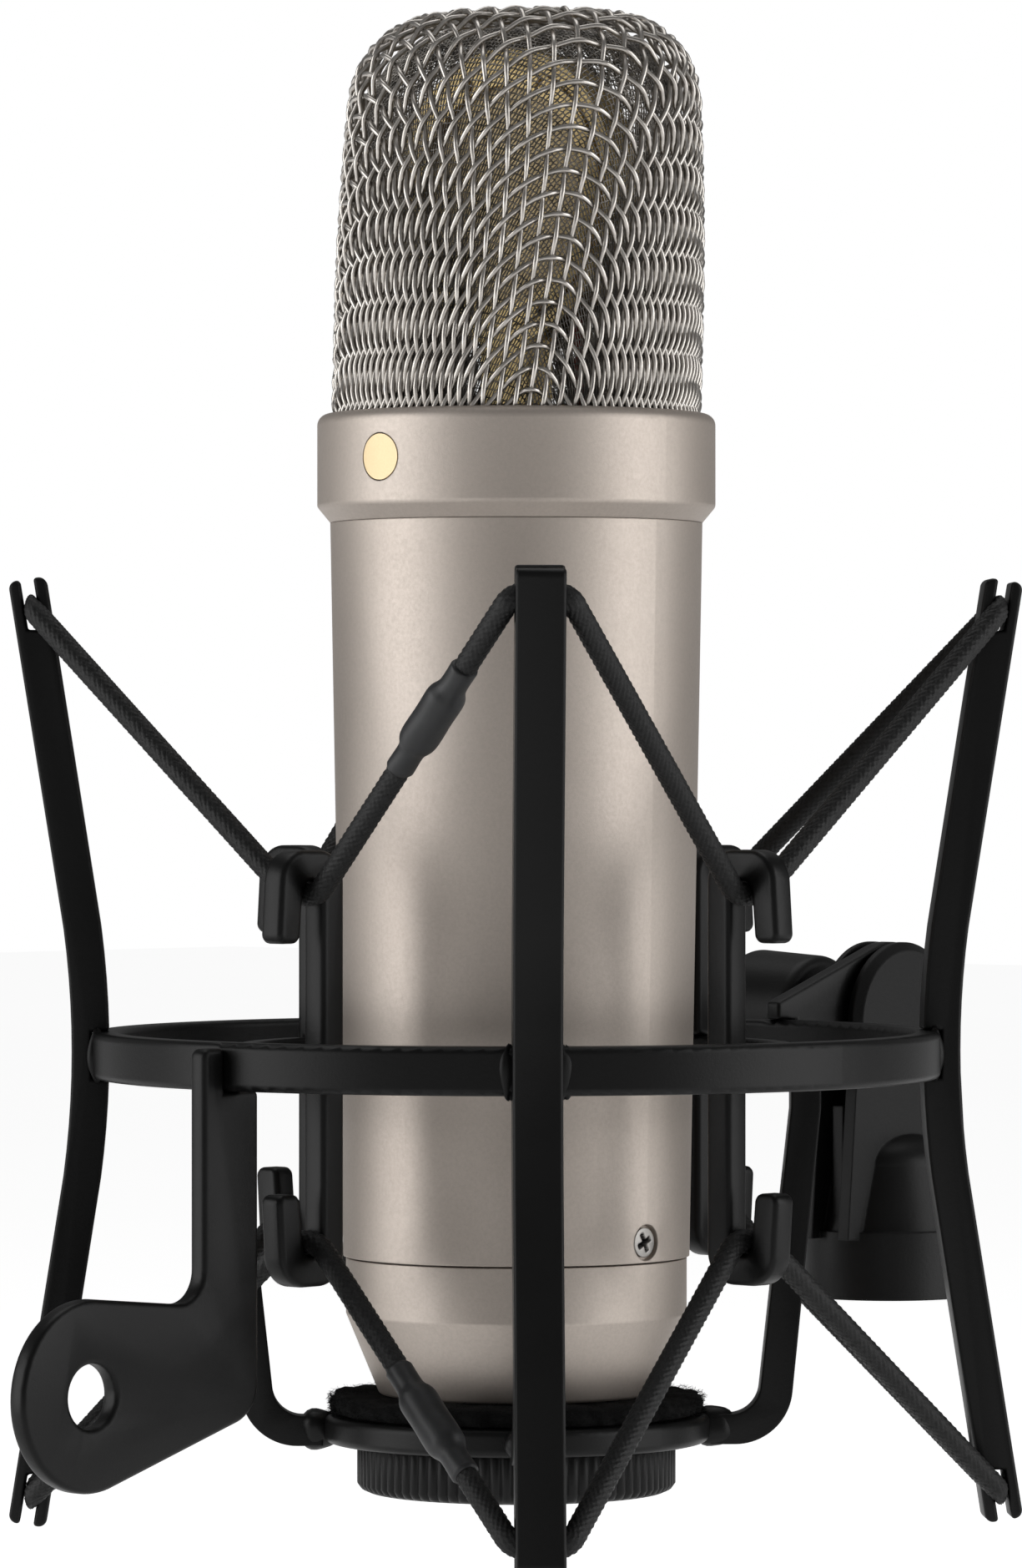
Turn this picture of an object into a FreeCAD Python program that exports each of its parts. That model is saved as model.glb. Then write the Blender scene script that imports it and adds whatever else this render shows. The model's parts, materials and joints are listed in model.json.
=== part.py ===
"""Large-diaphragm condenser microphone in an elastic-cord shock mount.

Frame: +Z runs up the microphone, the front (address) side faces -Y and the origin is on the
microphone's axis at the mouth of its cable socket. Lengths are millimetres.
"""
import FreeCAD
import Part
import math
import os
import re
import Sketcher

SIZES = {
    # microphone tail, tube and collar
    "gap": 0.05, "stub_radius": 15.5, "shoulder_z": 8.9, "shoulder_radius": 17.9,
    "cone_top_z": 19.4, "tail_radius": 22.25, "tail_top_z": 26.65, "spigot_radius": 20.7,
    "spigot_top_z": 34, "core_radius": 18.3, "cavity_floor_z": 15, "socket_shell_radius": 12.1,
    "tube_bottom_z": 26.9, "tube_top_z": 122.4, "tube_bottom_radius": 22.6, "tube_top_radius": 24.3,
    "tube_wall": 1.75, "screw_z": 29.5, "screw_recess_radius": 2.35, "screw_hole_radius": 1.3,
    "screw_head_radius": 1.9, "screw_head_tall": 0.7, "screw_socket": 0.45,
    "screw_head_depth": 1, "chassis_head_depth": 0.75,
    "collar_radius": 26, "collar_lower_z": 124.5, "collar_top_z": 136.6, "collar_spigot_z": 112,
    "collar_spigot_radius": 22.2, "chassis_screw_z": 117,
    "deck_seat_z": 131, "deck_radius": 21.9, "deck_thick": 2.5,
    "mesh_seat_z": 133.7, "mesh_radius": 24.35, "dot_z": 130.3, "dot_radius": 2.95, "dot_thick": 0.9,
    "dot_seam": 0.16,
    # cable socket
    "socket_bore_radius": 8.1, "socket_floor_z": 11, "pin_radius": 1.2, "pin_circle": 3.5,
    "pin_tip_z": 2.5, "pin_tail_z": 17,
    # head grille
    "head_top_z": 188.8, "head_corner": 10.6, "head_draw_z": 152, "head_draw": 3.4,
    "outer_mesh_thick": 1.7, "inner_mesh_inset": 2.6, "inner_mesh_thick": 0.5,
    # capsule
    "capsule_z": 165, "capsule_radius": 17, "plate_thick": 3.2, "film_thick": 0.1,
    "clamp_thick": 1.2, "clamp_bore_radius": 14.4, "saddle_radius": 19.3, "saddle_depth": 5,
    "saddle_foot_radius": 8, "saddle_foot_thick": 2, "isolator_thick": 2, "isolator_radius": 7,
    "drilling_radius": 0.6, "capsule_screw_radius": 0.5, "capsule_screw_head_radius": 0.85,
    # electronics and chassis
    "board_wide": 30, "board_bottom_z": 46, "board_top_z": 106, "board_thick": 1.6, "board_y": -2,
    "rail_x": 15, "rail_thick": 2.6, "rail_wide": 8, "lead_radius": 0.6, "lead_x": 11,
    # cradle that holds the microphone
    "cradle_inner": 34.2, "cradle_outer": 36.6, "cradle_mid_z": 52.5, "cradle_tall": 4,
    "bar_inner": 34.2, "bar_outer": 38.2, "bar_wide": 3.65, "arch_top_z": 80.1, "arch_thick": 4,
    "hook_inner": 41.5, "hook_outer": 45.3, "tip_inner": 42.2, "tip_outer": 46.1, "tip_z": 68.3,
    "arm_wide": 3.9, "arm_thick": 3.9, "arm_radius": 37.8, "arm_corner_radius": 33.4,
    "arm_knee_z": 46, "foot_z": 4.15, "base_radius": 25.2, "base_z": 2.7, "base_tall": 3.6,
    "felt_radius": 24.4, "nut_radius": 20.8, "nut_bottom_z": -3.9,
    # outer frame
    "ring_inner": 51.7, "ring_outer": 55.3, "ring_bottom_z": 50.1, "ring_tall": 6.1,
    "prong_mid_z": 53.6, "prong_half": 61, "prong_wide": 6.2, "prong_thick": 4.9,
    "prong_end_radius": 66.2, "prong_vertex_radius": 56.4, "prong_bend": 121,
    "slot_deep": 6.2, "slot_wide": 1.8,
    "lug_thick": 2.7, "lug_centre": 78.2, "lug_z": 13.5, "lug_radius": 11.9, "lug_hole_radius": 4,
    "lug_inner": 49.3, "lug_strip_outer": 59, "lug_tab_z": 55.5, "lug_heel_z": 9.7,
    "lug_step_z": 23.6,
    # elastic cords
    "cord_radius": 1.5, "cord_thin": 0.8, "cord_hook_radius": 39.85, "cord_hook_z": 74.45,
    "cord_slot_inset": 0.52, "cord_slot_z": 111.3, "cord_slot_side": 4.9, "cord_hook_side": 2.6,
    "sleeve_radius": 2.4, "sleeve_long": 18.4, "sleeve_place": 0.6,
    # swivel and stand adapter
    "hub_y": 76, "hub_z": 55.4, "hub_radius": 11, "tongue_thick": 2.5,
    "washer_radius": 7.5, "cheek_inner": 2.3, "cheek_outer": 4.2, "bolt_radius": 2.45,
    "cheek_half_low": 13.2, "band_radius": 11.7, "band_z": 17.5,
    "band_top_z": 26.8, "bell_radius": 8.7, "bell_top_z": 40.5, "web_half": 0.9, "web_top_z": 44,
    "web_front": 10.4, "web_clearance": 0.5, "insert_radius": 9.3, "thread_radius": 7.94, "thread_long": 11,
    "knob_near": 11, "knob_far": 24, "knob_small": 8.8, "knob_large": 9.6, "knob_neck": 5,
}

doc = FreeCAD.newDocument("condenser_microphone")
sheet = doc.addObject("Spreadsheet::Sheet", "Sizes")
for row, (alias, value) in enumerate(SIZES.items(), start=1):
    sheet.set(f"A{row}", alias)
    sheet.set(f"B{row}", str(value))
    sheet.setAlias(f"B{row}", alias)
doc.recompute()

finished = []


def bound(expression):
    """The expression with every driving dimension read from the sheet."""
    return re.sub(r"[a-z]\w*", lambda word: f"Sizes.{word.group()}" if word.group() in SIZES
                  else word.group(), str(expression))


def value_of(expression):
    """The number that an expression over the driving dimensions gives now."""
    return float(sheet.evalExpression(str(expression)))


def drive(item, **expressions):
    """Bind properties of a document object to the sheet."""
    for name, expression in expressions.items():
        item.setExpression(name, bound(expression))
    return item


def keep(item, azimuth=0.0):
    """Turn a finished piece about the microphone's axis and list it for writing."""
    item.Placement = FreeCAD.Placement(FreeCAD.Vector(0, 0, 0),
                                       FreeCAD.Rotation(FreeCAD.Vector(0, 0, 1), azimuth))
    finished.append(item)
    return item


def origin_feature(body, role):
    return next(item for item in body.Origin.OriginFeatures if item.Role == role)


def new_body(label):
    body = doc.addObject("PartDesign::Body", label)
    body.Label = label
    return body


def new_sketch(body, plane, offset="0"):
    sketch = body.newObject("Sketcher::SketchObject", f"{body.Label}_outline")
    sketch.AttachmentSupport = [(origin_feature(body, plane), "")]
    sketch.MapMode = "FlatFace"
    sketch.setExpression(".AttachmentOffset.Base.z", bound(offset))
    return sketch


def fix_point(sketch, curve, end, point):
    """Dimension one end or centre of a curve from the sketch origin."""
    for kind, expression in zip(("DistanceX", "DistanceY"), point):
        rule = Sketcher.Constraint(kind, -1, 1, curve, end, value_of(expression))
        sketch.setExpression(f"Constraints[{sketch.addConstraint(rule)}]", bound(expression))


def add_polygon(sketch, points):
    """A closed outline whose corners are pairs of expressions."""
    first = sketch.GeometryCount
    corners = [FreeCAD.Vector(value_of(x), value_of(y), 0) for x, y in points]
    count = len(corners)
    for index, corner in enumerate(corners):
        sketch.addGeometry(Part.LineSegment(corner, corners[(index + 1) % count]), False)
    for index, point in enumerate(points):
        following = first + (index + 1) % count
        sketch.addConstraint(Sketcher.Constraint("Coincident", first + index, 2, following, 1))
        fix_point(sketch, first + index, 1, point)
    return sketch


def add_circle(sketch, centre, radius):
    middle = FreeCAD.Vector(value_of(centre[0]), value_of(centre[1]), 0)
    circle = Part.Circle(middle, FreeCAD.Vector(0, 0, 1), value_of(radius))
    curve = sketch.addGeometry(circle, False)
    fix_point(sketch, curve, 3, centre)
    rule = sketch.addConstraint(Sketcher.Constraint("Radius", curve, value_of(radius)))
    sketch.setExpression(f"Constraints[{rule}]", bound(radius))
    return sketch


def revolved(label, points, plane="XZ_Plane"):
    """A turned piece: the outline is (radius, height) and goes round the microphone's axis."""
    body = new_body(label)
    sketch = add_polygon(new_sketch(body, plane), points)
    turned = body.newObject("PartDesign::Revolution", f"{label}_turned")
    turned.Profile = sketch
    turned.ReferenceAxis = (sketch, ["V_Axis"])
    turned.Angle = 360
    doc.recompute()
    return body


def padded(body, sketch, length, symmetric=True):
    pad = body.newObject("PartDesign::Pad", f"{body.Label}_pad")
    pad.Profile = sketch
    pad.SideType = "Symmetric" if symmetric else "One side"
    drive(pad, Length=length)
    doc.recompute()
    return pad


def pocketed(body, sketch, length=None, reverse=False):
    """Cut the sketch through everything both ways, or to a depth, and prove that it cut."""
    before = body.Shape.Volume
    pocket = body.newObject("PartDesign::Pocket", f"{body.Label}_pocket")
    pocket.Profile = sketch
    pocket.Reversed = reverse
    if length is None:
        pocket.Type = "ThroughAll"
        pocket.SideType = "Symmetric"
    else:
        drive(pocket, Length=length)
    doc.recompute()
    if body.Shape.Volume > before - 1e-4:
        raise RuntimeError(f"{pocket.Label} removes nothing")
    return pocket


def repeated(body, feature, count):
    """Repeat a feature round the Z axis."""
    pattern = body.newObject("PartDesign::PolarPattern", f"{body.Label}_pattern")
    pattern.Originals = [feature]
    pattern.Axis = (origin_feature(body, "Z_Axis"), [""])
    pattern.Angle = 360
    pattern.Occurrences = count
    body.Tip = pattern
    doc.recompute()
    return pattern


def runs_through(edge, spot):
    """Whether an edge runs straight along Y through an (x, z) corner."""
    ends = [vertex.Point for vertex in edge.Vertexes]
    return len(ends) == 2 and all(math.dist((end.x, end.z), spot) < 1e-4 for end in ends)


def rounded(body, radius, corners):
    """Round the edges that cross the (x, z) outline at the given corners."""
    base = body.Tip
    spots = [(value_of(x), value_of(z)) for x, z in corners]
    names = [f"Edge{number}" for number, edge in enumerate(base.Shape.Edges, start=1)
             if any(runs_through(edge, spot) for spot in spots)]
    if len(names) != len(spots):
        raise RuntimeError(f"{body.Label}: {len(names)} edges for {len(spots)} corners")
    fillet = body.newObject("PartDesign::Fillet", f"{body.Label}_round")
    fillet.Base = (base, names)
    drive(fillet, Radius=radius)
    doc.recompute()
    return fillet


def rounded_rims(body, radius, rims):
    """Round the circular edges at the given (radius, height) pairs."""
    base = body.Tip
    spots = [(value_of(x), value_of(y)) for x, y in rims]
    names = []
    for number, edge in enumerate(base.Shape.Edges, start=1):
        if isinstance(edge.Curve, Part.Circle):
            rim = (edge.Curve.Radius, edge.Curve.Center.z)
            if any(math.dist(rim, spot) < 1e-4 for spot in spots):
                names.append(f"Edge{number}")
    fillet = body.newObject("PartDesign::Fillet", f"{body.Label}_rims")
    fillet.Base = (base, names)
    drive(fillet, Radius=radius)
    doc.recompute()
    return fillet


def ring_points(inner, outer, bottom, top):
    return [(inner, bottom), (outer, bottom), (outer, top), (inner, top)]


def solid_feature(label, shape):
    """A piece whose shape comes from Part's own functions."""
    item = doc.addObject("Part::Feature", label)
    item.Label = label
    item.Shape = shape
    return keep(item)


def rod(start, end, radius):
    along = end - start
    return Part.makeCylinder(radius, along.Length, start, along)


def block(low, high):
    size = FreeCAD.Vector(*high) - FreeCAD.Vector(*low)
    return Part.makeBox(size.x, size.y, size.z, FreeCAD.Vector(*low))


# ---- microphone housing ---------------------------------------------------------------------

def tail_housing():
    body = revolved("tail_housing", [
        ("socket_shell_radius + gap", "0"), ("stub_radius", "0"), ("stub_radius", "shoulder_z"),
        ("shoulder_radius", "shoulder_z"), ("tail_radius", "cone_top_z"),
        ("tail_radius", "tail_top_z"), ("spigot_radius", "tail_top_z"),
        ("spigot_radius", "spigot_top_z"), ("core_radius", "spigot_top_z"),
        ("core_radius", "cone_top_z"), ("socket_shell_radius + gap", "cavity_floor_z")])
    rounded_rims(body, "0.6", [("tail_radius", "cone_top_z"), ("shoulder_radius", "shoulder_z")])
    holes = add_circle(new_sketch(body, "YZ_Plane"), ("0", "screw_z"), "screw_hole_radius")
    pocketed(body, holes)
    keep(body)


def body_tube():
    body = revolved("body_tube", [
        ("tube_bottom_radius - tube_wall", "tube_bottom_z"), ("tube_bottom_radius", "tube_bottom_z"),
        ("tube_top_radius", "tube_top_z"), ("collar_spigot_radius + gap", "tube_top_z"),
        ("collar_spigot_radius + gap", "collar_spigot_z - 1"),
        ("collar_spigot_radius - 0.3", "collar_spigot_z - 4")])
    holes = add_circle(new_sketch(body, "YZ_Plane"), ("0", "screw_z"), "screw_hole_radius")
    pocketed(body, holes)
    recess_floor = new_sketch(body, "YZ_Plane", "tube_bottom_radius - screw_head_depth")
    recess = add_circle(recess_floor, ("0", "screw_z"), "screw_recess_radius")
    repeated(body, pocketed(body, recess, "5", reverse=True), 2)
    keep(body)


def head_collar():
    body = revolved("head_collar", [
        ("core_radius", "collar_spigot_z"), ("collar_spigot_radius", "collar_spigot_z"),
        ("collar_spigot_radius", "tube_top_z + gap"), ("tube_top_radius", "tube_top_z + gap"),
        ("collar_radius", "collar_lower_z"), ("collar_radius", "collar_top_z"),
        ("mesh_radius + gap", "collar_top_z"), ("mesh_radius + gap", "mesh_seat_z - gap"),
        ("deck_radius + gap", "mesh_seat_z - gap"), ("deck_radius + gap", "deck_seat_z"),
        ("core_radius", "deck_seat_z")])
    rounded_rims(body, "1.5", [("collar_radius", "collar_top_z")])
    rounded_rims(body, "0.8", [("collar_radius", "collar_lower_z")])
    dot_bed = add_circle(new_sketch(body, "XZ_Plane", "collar_radius - dot_thick - 6 * gap"),
                         ("0", "dot_z"), "dot_radius + dot_seam")
    pocketed(body, dot_bed, "5", reverse=True)
    screw_spot = ("0", "chassis_screw_z")
    pocketed(body, add_circle(new_sketch(body, "YZ_Plane"), screw_spot, "screw_hole_radius"))
    head_seat = new_sketch(body, "YZ_Plane", "collar_spigot_radius - chassis_head_depth - 2 * gap")
    add_circle(head_seat, screw_spot, "screw_head_radius + gap")
    repeated(body, pocketed(body, head_seat, "3", reverse=True), 2)
    keep(body)


def front_dot():
    """The inlaid disc that marks the address side, curved flush with the collar."""
    peg = doc.addObject("Part::Cylinder", "dot_peg")
    drive(peg, Radius="dot_radius", Height="collar_radius + 1")
    peg.setExpression(".Placement.Base.z", bound("dot_z"))
    peg.Placement.Rotation = FreeCAD.Rotation(FreeCAD.Vector(1, 0, 0), 90)
    outside = doc.addObject("Part::Cylinder", "dot_outside")
    inside = doc.addObject("Part::Cylinder", "dot_inside")
    drive(outside, Radius="collar_radius", Height="collar_top_z")
    drive(inside, Radius="collar_radius - dot_thick", Height="collar_top_z")
    shell = doc.addObject("Part::Cut", "dot_shell")
    shell.Base = outside
    shell.Tool = inside
    dot = doc.addObject("Part::Common", "front_dot")
    dot.Base = shell
    dot.Tool = peg
    doc.recompute()
    keep(dot)


def side_screws(label, height, head_from, tip):
    """Two screws on the left and right, pointing at the axis, in one node."""
    z = value_of(height)
    solids = []
    for side in (-1, 1):
        seat = FreeCAD.Vector(side * value_of(head_from), 0, z)
        top = seat + FreeCAD.Vector(side * value_of("screw_head_tall"), 0, 0)
        point = FreeCAD.Vector(side * value_of(tip), 0, z)
        head = rod(seat, top, value_of("screw_head_radius"))
        shank = rod(seat, point, value_of("screw_hole_radius - gap"))
        driver = value_of("screw_socket")
        socket = rod(top, top - FreeCAD.Vector(side * driver, 0, 0), driver)
        solids.append(head.fuse(shank).cut(socket))
    solid_feature(label, Part.makeCompound(solids))


# ---- head grille ----------------------------------------------------------------------------

def head_half_sizes(height):
    """Half width (X) and half depth (Y) of the grille: the sides close in a quarter round at
    the top, and the front and back draw in earlier, as on a pressed basket."""
    top = value_of("head_top_z")
    full = value_of("mesh_radius")
    corner = value_of("head_corner")
    rise = max(0.0, height - (top - corner))
    round_off = corner - math.sqrt(max(0.0, corner ** 2 - rise ** 2))
    start = value_of("head_draw_z")
    draw = value_of("head_draw") * max(0.0, (height - start) / (top - start)) ** 1.7
    return full - 0.25 - round_off, full - 0.3 - draw - 0.8 * round_off


def basket_solid(inset):
    top = value_of("head_top_z") - inset
    bottom = value_of("mesh_seat_z")
    rings = []
    for share in (0.0, 0.2, 0.4, 0.58, 0.72, 0.83, 0.91, 0.96, 0.99, 1.0):
        height = bottom + share * (top - bottom)
        across, deep = head_half_sizes(height + inset * share)
        ring = Part.Ellipse(FreeCAD.Vector(0, 0, height), across - inset, deep - inset)
        rings.append(Part.Wire(ring.toShape()))
    return Part.makeLoft(rings, True, True)


def head_mesh():
    thick = value_of("outer_mesh_thick")
    inset = value_of("inner_mesh_inset")
    fine = inset + value_of("inner_mesh_thick")
    bottom = value_of("mesh_seat_z")
    for label, outside, inside in (("outer_mesh", 0.0, thick), ("inner_mesh", inset, fine)):
        core = basket_solid(inside)
        plug = Part.makeCylinder(15, 2, FreeCAD.Vector(0, 0, bottom - 1))
        shell = basket_solid(outside).cut(core.fuse(plug))
        solid_feature(label, shell)


# ---- capsule --------------------------------------------------------------------------------

def capsule_disc(outer, inner, near, far):
    """A disc or ring about the capsule's axis between two distances towards the front."""
    centre = FreeCAD.Vector(0, -near, value_of("capsule_z"))
    forward = FreeCAD.Vector(0, -1, 0)
    disc = Part.makeCylinder(outer, far - near, centre, forward)
    if inner > 0:
        disc = disc.cut(Part.makeCylinder(inner, far - near, centre, forward))
    return disc


def around_capsule(radius, count):
    """Places round the capsule's axis, for screws and drilled holes."""
    for index in range(count):
        angle = 2 * math.pi * (index + 0.5) / count
        yield radius * math.cos(angle), value_of("capsule_z") + radius * math.sin(angle)


def capsule():
    half = value_of("plate_thick") / 2
    gap = value_of("gap")
    film_near = half + gap
    film_far = film_near + value_of("film_thick")
    ring_near = film_far + gap
    ring_far = ring_near + value_of("clamp_thick")
    outer = value_of("capsule_radius")
    bore = value_of("clamp_bore_radius")
    screw_circle = (outer + bore) / 2 + 0.15
    screw = value_of("capsule_screw_radius")
    screw_head = value_of("capsule_screw_head_radius")
    drilling = value_of("drilling_radius")
    plate = capsule_disc(outer, 0, -half, half)
    drilled = []
    for radius, count in ((4, 6), (8, 12), (12, 18)):
        for x, z in around_capsule(radius, count):
            drilled.append(rod(FreeCAD.Vector(x, -half, z), FreeCAD.Vector(x, half, z), drilling))
    screw_places = list(around_capsule(screw_circle, 8))
    for x, z in screw_places:
        drilled.append(rod(FreeCAD.Vector(x, -half, z), FreeCAD.Vector(x, half, z), screw + gap))
    solid_feature("capsule_backplate", plate.cut(Part.makeCompound(drilled)))
    screws = []
    for name, side in (("front", 1), ("rear", -1)):
        film = capsule_disc(bore + 0.4, 0, min(side * film_near, side * film_far),
                            max(side * film_near, side * film_far))
        solid_feature(f"diaphragm_{name}", film)
        clamp = capsule_disc(outer, bore, min(side * ring_near, side * ring_far),
                             max(side * ring_near, side * ring_far))
        holes = []
        for x, z in screw_places:
            seat = FreeCAD.Vector(x, -side * (ring_far + gap), z)
            holes.append(rod(seat, FreeCAD.Vector(x, 0, z), screw + gap))
            shank = rod(seat, FreeCAD.Vector(x, -side * 0.3, z), screw)
            head = rod(seat, seat + FreeCAD.Vector(0, -side * 0.5, 0), screw_head)
            screws.append(shank.fuse(head))
        solid_feature(f"capsule_ring_{name}", clamp.cut(Part.makeCompound(holes)))
    solid_feature("capsule_screws", Part.makeCompound(screws))


def capsule_mount():
    """Deck across the collar, rubber isolator, and the saddle that holds the capsule."""
    deck_top = "deck_seat_z + gap + deck_thick"
    deck = revolved("head_deck", ring_points("3", "deck_radius", "deck_seat_z + gap", deck_top))
    hole = add_circle(new_sketch(deck, "XY_Plane"), ("lead_x", "0"), "lead_radius + 0.4")
    repeated(deck, pocketed(deck, hole), 2)
    keep(deck)
    foot_low = f"{deck_top} + 2 * gap + isolator_thick"
    keep(revolved("capsule_isolator", ring_points(
        "3", "isolator_radius", f"{deck_top} + gap", f"{deck_top} + gap + isolator_thick")))
    low = value_of(foot_low)
    centre = FreeCAD.Vector(0, 0, value_of("capsule_z"))
    depth = value_of("saddle_depth")
    outer = value_of("saddle_radius")
    inner = value_of("capsule_radius + gap")
    foot = Part.makeCylinder(value_of("saddle_foot_radius"), value_of("saddle_foot_thick"),
                             FreeCAD.Vector(0, 0, low))
    stem = block((-4, -depth / 2, low), (4, depth / 2, centre.z - outer + 2))
    front = FreeCAD.Vector(0, depth / 2, centre.z)
    back = FreeCAD.Vector(0, -depth / 2, centre.z)
    hoop = rod(back, front, outer)
    bore = rod(back - FreeCAD.Vector(0, 1, 0), front + FreeCAD.Vector(0, 1, 0), inner)
    saddle = foot.fuse([stem, hoop]).cut(bore).removeSplitter()
    solid_feature("capsule_saddle", saddle)


# ---- electronics and chassis ----------------------------------------------------------------

def electronics():
    half = value_of("board_wide") / 2
    low = value_of("board_bottom_z")
    high = value_of("board_top_z")
    face = value_of("board_y") + value_of("board_thick") / 2
    back = value_of("board_y") - value_of("board_thick") / 2
    gap = value_of("gap")
    board = block((-half, back, low), (half, face, high))
    solid_feature("circuit_board", board)
    parts = [block((-6, face + gap, 60), (6, face + gap + 9, 74))]
    for index in range(4):
        x = -10.5 + 7 * index
        parts.append(Part.makeCylinder(2.6, 11, FreeCAD.Vector(x, face + gap + 2.6, 80)))
        parts.append(block((x - 1.6, back - gap - 2.4, 62), (x + 1.6, back - gap, 68)))
    for side in (-1, 1):
        parts.append(rod(FreeCAD.Vector(side * 10, face + gap, 52),
                         FreeCAD.Vector(side * 10, face + gap + 6, 52), 3))
        lead_x = side * value_of("lead_x")
        parts.append(block((lead_x - 2, face + gap, high - 8), (lead_x + 2, face + gap + 3, high - 4)))
    solid_feature("board_components", Part.makeCompound(parts))
    x = value_of("rail_x")
    wide = value_of("rail_wide") / 2
    rails = []
    for side in (-1, 1):
        inner, outer = sorted((side * x, side * (x + value_of("rail_thick"))))
        rail = block((inner, -wide, value_of("cone_top_z")), (outer, wide, value_of("deck_seat_z - 2")))
        for height in ("screw_z", "chassis_screw_z"):
            z = value_of(height)
            drill = rod(FreeCAD.Vector(inner - 1, 0, z), FreeCAD.Vector(outer + 1, 0, z),
                        value_of("screw_hole_radius"))
            rail = rail.cut(drill)
        rails.append(rail)
    solid_feature("chassis_rails", Part.makeCompound(rails))


def wires():
    radius = value_of("lead_radius")
    high = value_of("board_top_z")
    top = value_of("capsule_z") - math.sqrt(value_of("saddle_radius") ** 2 - value_of("lead_x") ** 2)
    leads = []
    for side in (-1, 1):
        x = side * value_of("lead_x")
        leads.append(rod(FreeCAD.Vector(x, 0, high - 3.8), FreeCAD.Vector(x, 0, top - 0.6), radius))
    solid_feature("capsule_leads", Part.makeCompound(leads))
    socket = []
    for x, y in pin_places():
        socket.append(rod(FreeCAD.Vector(x, y, value_of("pin_tail_z + 0.1")),
                          FreeCAD.Vector(x, y, value_of("board_bottom_z - 0.1")), radius))
    solid_feature("socket_wires", Part.makeCompound(socket))


# ---- cable socket ---------------------------------------------------------------------------

def pin_places():
    for angle in (0, 180, 270):
        turn = math.radians(angle)
        yield value_of("pin_circle") * math.cos(turn), value_of("pin_circle") * math.sin(turn)


def cable_socket():
    floor = "socket_floor_z"
    shell = revolved("socket_insert", [
        ("socket_bore_radius", "0"), ("socket_shell_radius", "0"), ("socket_shell_radius", floor),
        ("socket_shell_radius", f"{floor} + 3"), ("0", f"{floor} + 3"), ("0", floor),
        ("socket_bore_radius", floor)])
    holes = new_sketch(shell, "XY_Plane")
    for x, y in (("pin_circle", "0"), ("-pin_circle", "0"), ("0", "-pin_circle")):
        add_circle(holes, (x, y), "pin_radius + gap")
    pocketed(shell, holes)
    keep(shell)
    pins = []
    for x, y in pin_places():
        pins.append(rod(FreeCAD.Vector(x, y, value_of("pin_tip_z")),
                        FreeCAD.Vector(x, y, value_of("pin_tail_z")), value_of("pin_radius")))
    solid_feature("socket_pins", Part.makeCompound(pins))


# ---- cradle ---------------------------------------------------------------------------------

RING_LOW = "cradle_mid_z - cradle_tall / 2"
RING_HIGH = "cradle_mid_z + cradle_tall / 2"


def add_notch(body, inner, outer, low, high):
    """Cut the seat that a ring is let into."""
    pocketed(body, add_polygon(new_sketch(body, "XZ_Plane"), ring_points(inner, outer, low, high)))


def cradle_ring():
    body = revolved("cradle_ring", ring_points("cradle_inner", "cradle_outer", RING_LOW, RING_HIGH))
    rounded_rims(body, "0.5", [("cradle_inner", RING_LOW), ("cradle_outer", RING_LOW),
                               ("cradle_inner", RING_HIGH), ("cradle_outer", RING_HIGH)])
    keep(body)


def hook_half(sign):
    """Corners of the upper hook (sign +) or its mirror image below (sign -), bar outwards."""
    mid = "cradle_mid_z"

    def level(height):
        return f"{mid} + ({sign}) * ({height} - {mid})"

    under = level("arch_top_z - arch_thick")
    return [("bar_outer", under), ("hook_inner", under), ("tip_inner", level("tip_z")),
            ("tip_outer", level("tip_z")), ("hook_outer", level("arch_top_z")),
            ("bar_inner", level("arch_top_z"))]


def hook_bar(label, azimuth):
    upper = hook_half("1")
    lower = hook_half("-1")
    body = new_body(label)
    padded(body, add_polygon(new_sketch(body, "XZ_Plane"), upper + lower[::-1]), "bar_wide")
    rounded(body, "4.2", [upper[4], upper[5], lower[4], lower[5]])
    rounded(body, "1.55", [upper[0], upper[1], lower[0], lower[1]])
    rounded(body, "1.2", [upper[2], upper[3], lower[2], lower[3]])
    add_notch(body, "bar_inner - 1", "cradle_outer + gap", f"{RING_LOW} - gap", f"{RING_HIGH} + gap")
    keep(body, azimuth)


def cradle_arm(label, azimuth):
    """A J-shaped arm: straight leg, bend, and a foot that reaches the base ring."""
    half = "arm_thick / 2"
    foot_low = f"foot_z - {half}"
    foot_high = f"foot_z + {half}"
    outline = [
        ("base_radius + gap", foot_low), (f"arm_corner_radius + {half}", foot_low),
        (f"arm_radius + {half}", "arm_knee_z"), (f"arm_radius + {half}", RING_HIGH),
        (f"arm_radius - {half}", RING_HIGH), (f"arm_radius - {half}", "arm_knee_z"),
        (f"arm_corner_radius - {half}", foot_high), ("base_radius + gap", foot_high)]
    body = new_body(label)
    padded(body, add_polygon(new_sketch(body, "XZ_Plane"), outline), "arm_wide")
    rounded(body, "7.5", [outline[1]])
    rounded(body, "4", [outline[6]])
    rounded(body, "1.2", [outline[3], outline[4]])
    add_notch(body, "cradle_inner", "cradle_outer + gap", f"{RING_LOW} - gap", f"{RING_HIGH} + 5")
    keep(body, azimuth)


def base_plate():
    top = "base_z + base_tall"
    bore = "stub_radius + gap"
    body = revolved("base_ring", ring_points(bore, "base_radius", "base_z", top))
    rounded_rims(body, "0.9", [("base_radius", "base_z"), ("base_radius", top)])
    keep(body)
    keep(revolved("felt_washer", ring_points(bore, "felt_radius", f"{top} + gap",
                                             "shoulder_z - gap")))
    nut = revolved("base_nut", ring_points(bore, "nut_radius", "nut_bottom_z", "base_z - gap"))
    rounded_rims(nut, "0.8", [("nut_radius", "nut_bottom_z")])
    keep(nut)


# ---- outer frame ----------------------------------------------------------------------------

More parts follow.
